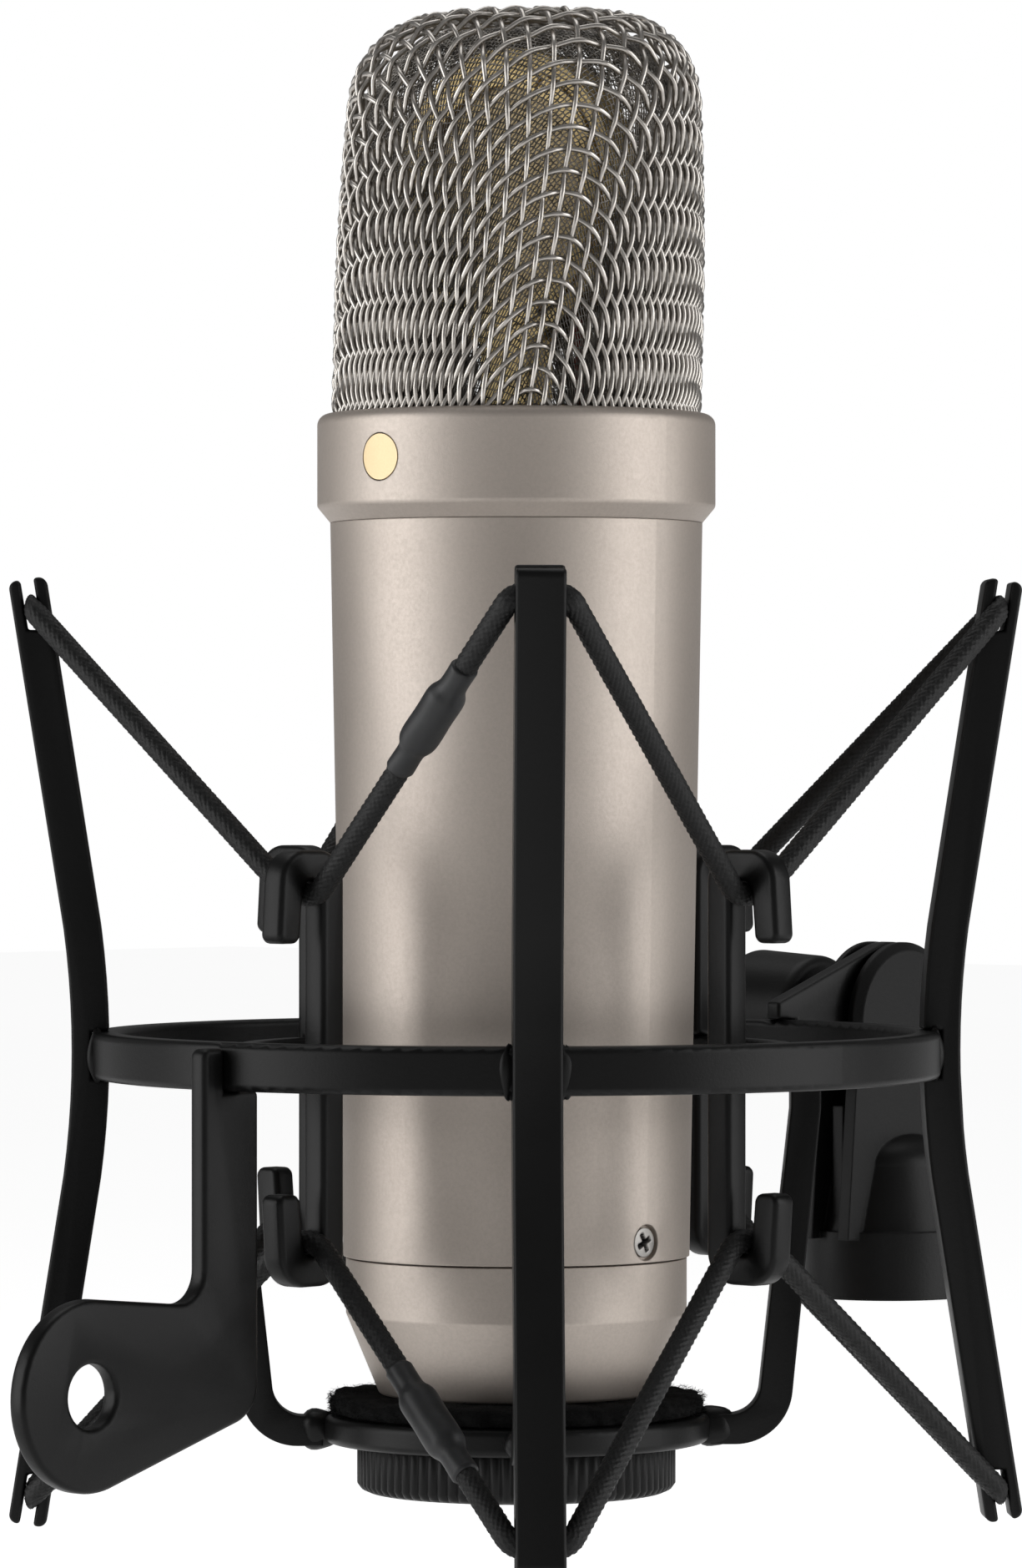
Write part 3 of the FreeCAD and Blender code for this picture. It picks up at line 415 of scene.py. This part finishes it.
def on_head(points, inset):
    """Move points to the grille's surface along the line from the head's core."""
    core_top = HEAD_TOP - inset - 19 * MM
    core = np.zeros_like(points)
    core[..., 2] = np.minimum(points[..., 2], core_top)
    ray = unit(points - core)
    low = np.full(points.shape[:-1], 2 * MM)
    high = np.full(points.shape[:-1], 40 * MM)
    for _ in range(26):
        middle = (low + high) / 2
        spot = core + ray * middle[..., None]
        across, deep = head_half_sizes(spot[..., 2], inset)
        outside = ((spot[..., 0] / across) ** 2 + (spot[..., 1] / deep) ** 2 > 1)
        outside |= spot[..., 2] > HEAD_TOP - inset
        high = np.where(outside, middle, high)
        low = np.where(outside, low, middle)
    return core + ray * low[..., None]


def ridge_profile(inset):
    """The head's profile along a ridge, from the top centre down: arc length, reach, height."""
    top = HEAD_TOP - inset
    heights = top - np.concatenate([np.linspace(0, 1, 60) ** 2 * HEAD_CORNER,
                                    HEAD_CORNER + np.linspace(0, 1, 80)[1:] * 75 * MM])
    across, deep = head_half_sizes(heights, inset)
    reach = np.concatenate([[0], math.sqrt(2) / np.sqrt(1 / across ** 2 + 1 / deep ** 2)])
    heights = np.concatenate([[top], heights])
    length = np.concatenate([[0], np.cumsum(np.hypot(np.diff(reach), np.diff(heights)))])
    return length, reach, heights


def row_shares(count):
    """Where the crossings of one row lie between two ridges, 0 to 1: evenly near the top, and
    lower down crowded in the middle, with wider cells left beside the ridges."""
    middle = np.arange(count) + 0.5
    from_ridge = np.minimum(middle, count - middle)
    extra = np.interp(count, (11, 15, 19, 25), (0.0, 0.15, 0.35, 0.8))
    width = 1 + extra * np.exp(-((from_ridge - 2) / 2) ** 2)
    return np.concatenate([[0], np.cumsum(width)]) / width.sum()


def cell_azimuth(first, second, settled):
    """Azimuth of each crossing: square cells on the crown, crowded rows down the sides."""
    row = abs(first) + abs(second)
    share = np.zeros(first.shape)
    for count in range(1, row.max() + 1):
        share[row == count] = row_shares(count)[abs(second)[row == count]]
    square = np.arctan2(abs(second), abs(first)) / (math.pi / 2)
    local = (square * (1 - settled) + share * settled) * math.pi / 2
    return np.arctan2(np.sin(local) * np.where(second < 0, -1, 1),
                      np.cos(local) * np.where(first < 0, -1, 1)) - math.pi / 4


def cell_depth(first, second, settled):
    """How far each crossing lies below the top, along the surface: a ridge crossing sits lower
    than its row, and a row levels out a few cells to the side of the ridge."""
    row = (abs(first) + abs(second)).astype(float)
    beside = np.minimum(abs(first), abs(second))
    beyond = np.maximum(row - CROWN_CELLS, 0)
    between = CROWN_DEPTH + SIDE_STEP * (row - CROWN_CELLS) + SIDE_GROWTH * beyond ** 2 / 2
    spread = np.interp(row, (9, 15, 25), (2.8, 2.3, 1.0))
    levelled = (1 - np.exp(-beside / spread)) / (1 - np.exp(-row / 2 / spread).clip(0, 0.999))
    side = RIDGE_STEP * row - (RIDGE_STEP * row - between) * levelled
    crown = RIDGE_STEP * np.hypot(first, second)
    return crown * (1 - settled) + side * settled


def draped_net(reach_cells, inset):
    """A square-woven net pressed over the head: its two central wires run down four ridges,
    where the cells stay square, and it shears to steep chevrons in between."""
    span = np.arange(-reach_cells, reach_cells + 1)
    first, second = np.meshgrid(span, span, indexing="ij")
    settled = np.clip((abs(first) + abs(second) - 5) / 7, 0, 1)
    azimuth = cell_azimuth(first, second, settled)
    depth = cell_depth(first, second, settled)
    length, reach, heights = ridge_profile(inset)
    radius = np.interp(depth, length, reach)
    points = np.stack([radius * np.cos(azimuth), radius * np.sin(azimuth),
                       np.interp(depth, length, heights)], -1)
    return on_head(swirled(on_head(points, inset)), inset)


def risen(points):
    """Height above the collar, 0 at its rim to 1 at the top of the head."""
    return (points[..., 2] - COLLAR_TOP) / (HEAD_TOP - COLLAR_TOP)


def leaned(points):
    """The pressed head stands slightly out of true, towards the right and rear."""
    side = np.array([math.cos(VIEW_AZIMUTH), math.sin(VIEW_AZIMUTH), 0])
    return points + side * (HEAD_LEAN * np.clip(risen(points), 0, 1))[..., None]


def swirled(points):
    """The ridges lean a little to one side on their way up."""
    rise = risen(points)
    turn = RIDGE_OFFSET + RIDGE_LEAN * rise
    cosine = np.cos(turn)
    sine = np.sin(turn)
    return np.stack([points[..., 0] * cosine - points[..., 1] * sine,
                     points[..., 0] * sine + points[..., 1] * cosine, points[..., 2]], -1)


def net_normals(points):
    """Outward directions of the net's surface."""
    along = np.gradient(points, axis=0)
    aside = np.gradient(points, axis=1)
    normal = unit(np.cross(along, aside))
    centre = points - np.array([0, 0, HEAD_TOP - 30 * MM])
    centre[..., 2] = np.maximum(centre[..., 2], 0)
    flip = np.sign(np.sum(normal * centre, -1, keepdims=True))
    return normal * np.where(flip == 0, 1, flip)


def runs_above(line, height):
    """Index ranges of a polyline that stay above a height, one point of overlap included."""
    above = line[:, 2] > height
    runs = []
    start = None
    for index, flag in enumerate(above):
        if flag and start is None:
            start = max(0, index - 1)
        if not flag and start is not None:
            runs.append((start, index + 1))
            start = None
    if start is not None:
        runs.append((start, len(line)))
    return runs


def clipped(line, height):
    """Pull the ends of an open curve up to a height."""
    keep = line[:, 2] >= height
    if keep.all():
        return line
    line = line.copy()
    line[:, 2] = np.maximum(line[:, 2], height)
    first = np.argmax(keep)
    last = len(line) - np.argmax(keep[::-1])
    return line[max(0, first - 1):min(len(line), last + 1)]


def weave(points, normals, lift, radius, steps, sides, floor):
    """Both wire families of a net, over and under at every crossing."""
    rows, columns = points.shape[:2]
    over = np.where((np.add.outer(np.arange(rows), np.arange(columns)) % 2) == 0, 1.0, -1.0)
    tubes = []
    for sign, swap in ((1, False), (-1, True)):
        lines = points + normals * (sign * lift * over)[..., None]
        if swap:
            lines = lines.transpose(1, 0, 2)
        for line in lines:
            for start, stop in runs_above(line, floor):
                if stop - start < 3:
                    continue
                curve = clipped(spline(line[start:stop], steps), floor)
                if len(curve) > 2:
                    tubes.append(tube(curve, radius, sides))
    return joined(tubes)


def grille():
    """The coarse outer weave, its wire ends hidden in the collar; returns its net."""
    net = draped_net(NET_REACH, 2 * WIRE_RADIUS)
    normals = net_normals(net)
    floor = COLLAR_TOP - 1.2 * MM
    points, faces = weave(leaned(net), normals, WIRE_RADIUS, WIRE_RADIUS, 5, 8, floor)
    wires = mesh_piece("grille_weave", points, faces, WIRE)
    finish_piece(wires, "microphone", "wire_nickel", "outer_mesh")
    return net


def refined(net, times):
    """A net with each cell split evenly."""
    for axis in (0, 1):
        count = net.shape[axis]
        fine = np.linspace(0, count - 1, (count - 1) * times + 1)
        low = np.minimum(fine.astype(int), count - 2)
        share = fine - low
        shape = [1, 1, 1]
        shape[axis] = len(fine)
        share = share.reshape(shape)
        net = np.take(net, low, axis) * (1 - share) + np.take(net, low + 1, axis) * share
    return net


def fine_mesh(net):
    """A fine screen whose wires run across the diagonals of the coarse cells."""
    dense = on_head(refined(net, SCREEN_SPLITS), SCREEN_INSET)
    floor = COLLAR_TOP - 2.6 * MM
    size = dense.shape[0]
    tubes = []
    for turn in (1, -1):
        for start in range(-size + 1, size, 2):
            rows = np.arange(max(0, start), min(size, size + start))
            columns = rows - start
            if turn < 0:
                columns = size - 1 - columns
            line = dense[rows, columns]
            wobble = np.where(np.arange(len(line)) % 2 == 0, 1, -1) * turn * SCREEN_WOBBLE
            line = leaned(line + unit(line * np.array([1, 1, 0.2])) * wobble[:, None])
            for first, last in runs_above(line, floor):
                if last - first > 3:
                    tubes.append(tube(clipped(line[first:last], floor), SCREEN_WIRE, 4))
    points, faces = joined(tubes)
    screen = mesh_piece("fine_screen", points, faces, PAINTED_SHADE_FINE_WIRE)
    finish_piece(screen, "microphone", "wire_nickel", "inner_mesh")


# ---- elastic cords --------------------------------------------------------------------------

CORD_RADIUS = 1.5 * MM
STRANDS = 12
BRAID_PITCH = 1.35
HOOK_REACH = 39.85 * MM
HOOK_ASIDE = 2.5 * MM
SLOT_ASIDE = 3.6 * MM
SLEEVE_PLACE = 0.6
SLEEVE_HALF = 9.3 * MM
PRONG_AZIMUTHS = (45, 135, 225, 315)


def cord_box(flip):
    """The CAD box of the upper (1) or lower (-1) cord."""
    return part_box("upper_cord" if flip > 0 else "lower_cord")


def hook_height(flip):
    low, high = cord_box(flip)
    return low.z + CORD_RADIUS if flip > 0 else high.z - CORD_RADIUS


def prong_slot(azimuth, flip):
    """Where a cord passes through a prong's end slot."""
    place = math.radians(azimuth)
    low, high = cord_box(flip)
    side = 4.9 * MM
    reach = (max(high.x, high.y) - CORD_RADIUS) * math.sqrt(2) - side
    height = high.z - CORD_RADIUS if flip > 0 else low.z + CORD_RADIUS
    return place, reach, height


def side_point(place, reach, aside, height):
    """A point at a reach in the direction of place, then moved to one side of it."""
    return np.array([reach * math.cos(place) - aside * math.sin(place),
                     reach * math.sin(place) + aside * math.cos(place), height])


def cord_path(flip):
    """The closed centre line of one cord loop, with rounded turns at slots and hooks."""
    hook_level = hook_height(flip)
    corners = []
    for azimuth in PRONG_AZIMUTHS:
        place, reach, height = prong_slot(azimuth, flip)
        hook = place + math.pi / 4
        for aside in (-SLOT_ASIDE, SLOT_ASIDE):
            corners.append((side_point(place, reach, aside, height), 1.6 * MM))
        for aside in (-HOOK_ASIDE, HOOK_ASIDE):
            corners.append((side_point(hook, HOOK_REACH, aside, hook_level), 1.8 * MM))
    path = []
    count = len(corners)
    for index, (corner, size) in enumerate(corners):
        before = corners[index - 1][0]
        after = corners[(index + 1) % count][0]
        enter = corner + unit(before - corner) * size
        leave = corner + unit(after - corner) * size
        for share in np.linspace(0, 1, 9):
            rest = 1 - share
            path.append(rest ** 2 * enter + 2 * share * rest * corner + share ** 2 * leave)
    return np.array(path)


def resampled(path, step):
    """A closed path with evenly spaced points."""
    loop = np.vstack([path, path[:1]])
    length = np.concatenate([[0], np.cumsum(np.linalg.norm(np.diff(loop, axis=0), axis=1))])
    count = int(length[-1] / step)
    wanted = np.linspace(0, length[-1], count, endpoint=False)
    return np.stack([np.interp(wanted, length, loop[:, axis]) for axis in range(3)], 1)


def braid_height(along, around):
    """Height of a two-family braid, 0 to 1: each strand is over one, then under one."""
    left = (along + around) * STRANDS / (2 * math.pi)
    right = (along - around) * STRANDS / (2 * math.pi)
    over = (np.floor(left) + np.floor(right)) % 2 == 0
    across = np.where(over, left % 1, right % 1)
    lengthwise = np.where(over, right % 1, left % 1)
    return np.sin(math.pi * across) ** 0.6 * (0.45 + 0.55 * np.sin(math.pi * lengthwise))


def braided_cord(name, flip):
    """One cord loop with its woven cover, flattened where the prong slots grip it."""
    path = resampled(cord_path(flip), 0.23 * MM)
    sides = 48
    angles, rings = cross_section(path, sides, closed=True)
    total = len(path) * np.linalg.norm(path[1] - path[0])
    turns = round(total / (2 * math.pi * CORD_RADIUS) / BRAID_PITCH * STRANDS) / STRANDS
    along = np.arange(len(path)) / len(path) * turns * 2 * math.pi
    height = braid_height(along[:, None], angles[None])
    radius = CORD_RADIUS - 0.24 * MM + 0.27 * MM * height
    ring = rings * radius[..., None]
    for azimuth in PRONG_AZIMUTHS:
        place, reach, level = prong_slot(azimuth, flip)
        outward = np.array([math.cos(place), math.sin(place), 0])
        centre = side_point(place, reach, 0, level)
        near = np.exp(-(np.linalg.norm(path - centre, axis=1) / SLOT_ASIDE) ** 6)
        part = (ring @ outward)[..., None] * outward
        ring = ring - part * (near * 0.45)[:, None, None]
        pinch = ring - (ring @ outward)[..., None] * outward
        ring = ring + pinch * (near * 0.18)[:, None, None]
    points = (path[:, None] + ring).reshape(-1, 3)
    cord = mesh_piece(f"{name}_braid", points, ring_faces(len(path), sides, True), BRAID)
    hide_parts(f"{name}_cord")
    return cord


def cord_sleeve(name, flip):
    """The shrink sleeve: narrow ends gripping the cord, a lumpy middle over the joint."""
    place, reach, height = prong_slot(315, flip)
    start = side_point(math.radians(270), HOOK_REACH, HOOK_ASIDE, hook_height(flip))
    end = side_point(place, reach, -SLOT_ASIDE, height)
    centre = start + (end - start) * SLEEVE_PLACE
    along = unit(end - start)
    shares = np.linspace(-1, 1, 61)
    path = centre + along * (shares * SLEEVE_HALF)[:, None]
    sides = 32
    angles, rings = cross_section(path, sides, wide=0.93, tall=1.05)
    swell = 1 / (1 + np.exp((abs(shares) - 0.52) * 26))
    lumps = 0.05 * np.sin(shares * 9 + flip)[:, None] * np.cos(2 * angles + 0.7)[None]
    radius = (1.78 + 0.72 * swell)[:, None] + lumps + 0.03 * np.sin(3 * angles)[None]
    radius[0] -= 0.16
    radius[-1] -= 0.16
    points = (path[:, None] + rings * radius[..., None] * MM).reshape(-1, 3)
    sleeve = mesh_piece(f"{name}_sleeve", points, capped_faces(len(path), sides), SLEEVE)
    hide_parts(f"{name}_cord_sleeve")
    return sleeve


def cords():
    """Both cords, stretching between the prongs on the frame and the hooks on the cradle."""
    for name, flip in (("upper", 1), ("lower", -1)):
        for piece in (braided_cord(name, flip), cord_sleeve(name, flip)):
            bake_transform(piece)


# ---- felt, nut, screws, welds ---------------------------------------------------------------

FELT_BORE = 15.6 * MM
FELT_FIBRES = 5200
FIBRE_RADIUS = 0.022 * MM


def loose_fibre(rng, low, high):
    """One short curled fibre, rooted on the felt's top or on its rim."""
    angle = rng.uniform(0, 2 * math.pi)
    height = rng.uniform(low.z, high.z)
    top = rng.random() < 0.3
    reach = rng.uniform(19 * MM, high.x) if top else high.x - rng.uniform(0.1, 0.4) * MM
    level = high.z if top else height
    root = np.array([reach * math.cos(angle), reach * math.sin(angle), level])
    outward = np.array([math.cos(angle), math.sin(angle), 0])
    drift = rng.normal(0, 1, 3) * (0.5, 0.5, 0.35)
    lean = unit(outward * (0.15 if top else 0.7) + drift + np.array([0, 0, 0.25 if top else 0]))
    size = rng.uniform(0.25, 0.75) * MM
    curl = rng.normal(0, 0.12, 3) * MM
    path = np.array([root, root + lean * size * 0.5 + curl * 0.4, root + lean * size + curl])
    path[:, 2] = np.minimum(path[:, 2], high.z + 0.35 * MM)
    return tube(path, FIBRE_RADIUS, 3)


def felt_washer():
    """A soft ring with an uneven edge and short loose fibres."""
    low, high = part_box("felt_washer")
    inner = FELT_BORE
    outer = high.x
    rng = np.random.default_rng(7)
    waves = [(rng.integers(5, 60), rng.uniform(0, 6.28), rng.uniform(0.03, 0.10)) for _ in range(14)]

    def uneven(spot, radius, angle):
        if radius < 20 * MM:
            return radius
        return radius + MM * sum(size * math.sin(times * angle + phase + spot)
                                 for times, phase, size in waves) - 0.1 * MM

    middle = (low.z + high.z) / 2
    outline = [(inner, low.z), (outer - 1.2 * MM, low.z), (outer - 0.3 * MM, low.z + 0.3 * MM),
               (outer, middle), (outer - 0.3 * MM, high.z - 0.3 * MM), (outer - 1.2 * MM, high.z),
               (inner, high.z)]
    points, faces = lathe(outline, 360, uneven)
    turn = np.arctan2(points[:, 1], points[:, 0])
    raised = (points[:, 2] > middle) & (np.hypot(points[:, 0], points[:, 1]) > 20 * MM)
    points[raised, 2] += 0.16 * MM * (np.sin(9 * turn[raised] + 1) + np.sin(23 * turn[raised]))
    parts = [(points, faces)]
    for _ in range(FELT_FIBRES):
        parts.append(loose_fibre(rng, low, high))
    points, faces = joined(parts)
    felt = mesh_piece("felt_ring", points, faces, FELT)
    finish_piece(felt, "cradle", "felt", "felt_washer")


def ribbed_nut():
    """The nut under the base ring, with rounded ribs round its rim."""
    low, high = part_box("base_nut")
    outer = high.x
    bore = 15.55 * MM
    ribs = 88
    chamfer = 0.9 * MM
    outline = [(bore, low.z), (outer - 2.6 * MM, low.z), (outer - 1.3 * MM, low.z + 0.15 * MM),
               (outer - 0.5 * MM, low.z + 0.5 * MM), (outer, low.z + chamfer + 0.3 * MM),
               (outer, high.z - 0.5 * MM), (outer - 0.4 * MM, high.z), (bore, high.z)]

    def ribbed(spot, radius, angle):
        if spot not in (3, 4, 5):
            return radius
        wave = abs(math.sin(ribs * angle / 2)) ** 0.75
        return radius - 0.42 * MM * (1 - wave)

    points, faces = lathe(outline, ribs * 10, ribbed)
    nut = mesh_piece("ribbed_nut", points, faces, PLASTIC)
    nut.modifiers.new("edges", "EDGE_SPLIT").split_angle = math.radians(38)
    finish_piece(nut, "base_nut", "black_plastic", "base_nut")


CROSS_COSINE = 0.906
CROSS_SINE = 0.423
RECESS_DEPTH = 1.5 * MM


def cross_screws():
    """Recessed cross-head screws on both sides of the tube, with painted shade in the middle of each
    recess.
    """
    low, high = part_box("body_screws")
    level = (low.z + high.z) / 2
    head = (high.z - low.z) / 2
    parts = []
    rings = 22
    sides = 64
    for side in (-1, 1):
        face = side * high.x
        points = []
        for ring in range(rings + 1):
            share = ring / rings
            for spoke in range(sides):
                angle = 2 * math.pi * spoke / sides
                y = head * share * math.cos(angle)
                z = head * share * math.sin(angle)
                turned = (y * CROSS_COSINE + z * CROSS_SINE, z * CROSS_COSINE - y * CROSS_SINE)
                narrow = min(abs(turned[0]), abs(turned[1])) / head
                wide = max(abs(turned[0]), abs(turned[1])) / head
                slot = 1 + math.exp((narrow - 0.15) * 90)
                reach = 1 + math.exp((wide - 0.62) * 50)
                crown = 0.12 * MM * (1 - share ** 2)
                sunk = RECESS_DEPTH * (1 / slot / reach) + 0.1 * MM - crown
                points.append((face - side * sunk, y, level + z))
        for spoke in range(sides):
            angle = 2 * math.pi * spoke / sides
            points.append((face - side * 0.8 * MM, head * math.cos(angle),
                           level + head * math.sin(angle)))
        parts.append((np.array(points), ring_faces(rings + 2, sides, False)))
    points, faces = joined(parts)
    screws = mesh_piece("cross_screws", points, faces, STEEL)
    # The deep middle of each cross recess takes the near-black rubber look: painted shade in the
    # recess.
    screws.data.materials.append(SLOT_LOOKS["rubber"])
    for polygon in screws.data.polygons:
        deep = abs(abs(polygon.center.x) - high.x) > 0.55 * MM
        middle = math.hypot(polygon.center.y, polygon.center.z - level) < 0.7 * head
        polygon.material_index = 1 if deep and middle else 0
    finish_piece(screws, "microphone", "steel", "body_screws")


def bead(centre, radii, along, seed):
    """One weld bead: a lumpy closed blob, longest along a direction."""
    rng = np.random.default_rng(seed)
    along = unit(np.array(along, float))
    side = unit(np.cross(along, (0.3, 0.5, 0.81)))
    up = np.cross(along, side)
    rows = 14
    columns = 20
    phases = rng.uniform(0, 6.28, 4)
    points = []
    for row in range(rows):
        polar = math.pi * (row + 0.5) / rows
        for column in range(columns):
            turn = 2 * math.pi * column / columns
            lump = 1 + 0.07 * math.sin(3 * turn + phases[0]) + 0.06 * math.sin(4 * polar + phases[1])
            points.append(centre + lump * (along * radii[0] * math.cos(polar)
                                           + side * radii[1] * math.sin(polar) * math.cos(turn)
                                           + up * radii[2] * math.sin(polar) * math.sin(turn)))
    return np.array(points), capped_faces(rows, columns)


def welds():
    """Weld beads where prongs meet the outer ring, and where arms and bars meet their rings."""
    ring_low, ring_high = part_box("outer_ring")
    base_low, base_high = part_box("base_ring")
    cradle_low, cradle_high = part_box("cradle_ring")
    ring_mid = (ring_low.z + ring_high.z) / 2
    frame_beads = []
    cradle_beads = []
    for index, azimuth in enumerate(PRONG_AZIMUTHS):
        place = math.radians(azimuth)
        outward = (math.cos(place), math.sin(place), 0)
        for side in (-1, 1):
            spot = side_point(place, ring_high.x - 0.7 * MM, side * 3.4 * MM, ring_mid)
            frame_beads.append(bead(spot, (3.3 * MM, 0.9 * MM, 1.3 * MM), (0, 0, 1),
                                    10 * index + side + 1))
        foot = side_point(place, base_high.x + 0.6 * MM, 0,
                          (base_low.z + base_high.z) / 2 - 0.1 * MM)
        cradle_beads.append(bead(foot, (2.7 * MM, 2.8 * MM, 2.75 * MM), outward, 50 + index))
    for azimuth in range(0, 360, 45):
        place = math.radians(azimuth)
        for side in (-1, 1):
            spot = side_point(place, cradle_high.x - 0.3 * MM, side * 2.1 * MM,
                              (cradle_low.z + cradle_high.z) / 2)
            cradle_beads.append(bead(spot, (1.9 * MM, 0.5 * MM, 0.7 * MM), (0, 0, 1),
                                     100 + azimuth + side))
    for name, body, beads in (("frame_welds", "outer_frame", frame_beads),
                              ("cradle_welds", "cradle", cradle_beads)):
        points, faces = joined(beads)
        finish_piece(mesh_piece(name, points, faces, COAT), body, "black_frame")


# ---- eased edges ----------------------------------------------------------------------------

def eased(name, radius):
    """The part's own form with its sharp edges rolled over, as pressed and coated metal has."""
    source = frame["nodes"][name]
    form = bmesh.new()
    form.from_mesh(source.data)
    bmesh.ops.remove_doubles(form, verts=form.verts, dist=0.002 * MM)
    bmesh.ops.dissolve_limit(form, angle_limit=math.radians(1.0), verts=form.verts, edges=form.edges)
    mesh = bpy.data.meshes.new(f"{name}_eased")
    form.to_mesh(mesh)
    form.free()
    mesh.materials.append(SLOT_LOOKS[SLOT_OF[name]])
    mesh.polygons.foreach_set("use_smooth", [True] * len(mesh.polygons))
    piece = bpy.data.objects.new(f"{name}_eased", mesh)
    bpy.context.collection.objects.link(piece)
    rolled = piece.modifiers.new("rolled_edges", "BEVEL")
    rolled.width = radius
    rolled.segments = 4
    rolled.limit_method = "ANGLE"
    rolled.angle_limit = math.radians(35)
    rolled.harden_normals = True
    rolled.use_clamp_overlap = True
    finish_piece(piece, BODY_OF[name], SLOT_OF[name], name)


def eased_parts():
    """Roll the edges of the prongs, hook bars, cradle arms, pop filter lug and swivel bracket."""
    for name in BODY_OF:
        for start, radius in EASED:
            if name.startswith(start):
                eased(name, radius)


# ---- stage, light and camera ----------------------------------------------------------------

VIEW_DISTANCE = 0.926
VIEW_HEIGHT = 0.0905
VIEW_ASIDE = -0.7 * MM
LENS_MM = 162.8
SENSOR_MM = 36
LENS_SHIFT = -0.0104
LIGHT_AIM = 0.09
FLOOR_DROP = 85 * MM
FLOOR_REACH = 4.5


def stage():
    """A wide white floor, low enough for the microphone to tilt right over above it."""
    floor_height = cad_box[0].z - FLOOR_DROP
    points = [(x * FLOOR_REACH, y * FLOOR_REACH, floor_height)
              for x, y in ((-1, -1), (1, -1), (1, 1), (-1, 1))]
    shader = Shader("studio_paper")
    tone = shader.noise(3, 2.0)
    shader.set(Base_Color=shader.ramp(tone, (0.3, (0.90, 0.90, 0.90)), (0.7, (0.92, 0.92, 0.92))),
               Roughness=0.9, Emission_Color=(1, 1, 1, 1),
               Emission_Strength=shader.span(seen_directly(shader.tree), 0.42, 0.8))
    mesh_piece("studio_floor", points, [(0, 1, 2, 3)], shader.material)


def softbox(name, azimuth, distance, height, size, power, tall=None):
    """A rectangular lamp aimed at the microphone's middle."""
    data = bpy.data.lights.new(name, "AREA")
    data.energy = power
    data.shape = "RECTANGLE"
    data.size = size
    data.size_y = tall or size
    lamp = bpy.data.objects.new(name, data)
    turn = VIEW_AZIMUTH + math.radians(azimuth)
    lamp.location = (distance * math.sin(turn), -distance * math.cos(turn), height)
    aim = Vector((0, 0, LIGHT_AIM)) - lamp.location
    lamp.rotation_euler = aim.to_track_quat("-Z", "Y").to_euler()
    bpy.context.collection.objects.link(lamp)


def seen_directly(tree):
    """1 for what the camera sees directly, 0 for light on its way to the microphone."""
    return tree.nodes.new("ShaderNodeLightPath").outputs["Is Camera Ray"]


def white_world():
    """White behind the object, and a dimmer even glow all round it."""
    world = bpy.data.worlds.new("studio")
    world.use_nodes = True
    tree = world.node_tree
    level = tree.nodes.new("ShaderNodeMapRange")
    level.inputs["To Min"].default_value = 0.17
    level.inputs["To Max"].default_value = 1.0
    tree.links.new(seen_directly(tree), level.inputs["Value"])
    tree.nodes["Background"].inputs["Color"].default_value = (1, 1, 1, 1)
    tree.links.new(level.outputs["Result"], tree.nodes["Background"].inputs["Strength"])
    bpy.context.scene.world = world


def light():
    softbox("key_left", -76, 0.95, 0.24, 0.75, 5.5, 0.8)
    softbox("key_right", 74, 0.95, 0.24, 0.7, 4.8, 0.8)
    softbox("front_fill", 4, 1.5, 0.80, 0.8, 0.4)
    softbox("top", 180, 0.25, 0.95, 0.7, 2.2)
    white_world()
    bpy.context.scene.view_settings.view_transform = "Standard"


def camera():
    """A long lens level with the microphone's middle, at the angle it is seen from."""
    data = bpy.data.cameras.new("view")
    data.lens = LENS_MM
    data.sensor_width = SENSOR_MM
    data.shift_y = LENS_SHIFT
    data.clip_start = 0.05
    viewer = bpy.data.objects.new("view", data)
    sine = math.sin(VIEW_AZIMUTH)
    cosine = math.cos(VIEW_AZIMUTH)
    viewer.location = (VIEW_DISTANCE * sine + VIEW_ASIDE * cosine,
                       -VIEW_DISTANCE * cosine + VIEW_ASIDE * sine, VIEW_HEIGHT)
    viewer.rotation_euler = (math.pi / 2, 0, VIEW_AZIMUTH)
    bpy.context.collection.objects.link(viewer)
    bpy.context.scene.camera = viewer


paint_cad_nodes()
coarse_net = grille()
fine_mesh(coarse_net)
cords()
felt_washer()
ribbed_nut()
cross_screws()
welds()
eased_parts()
stage()
light()
camera()
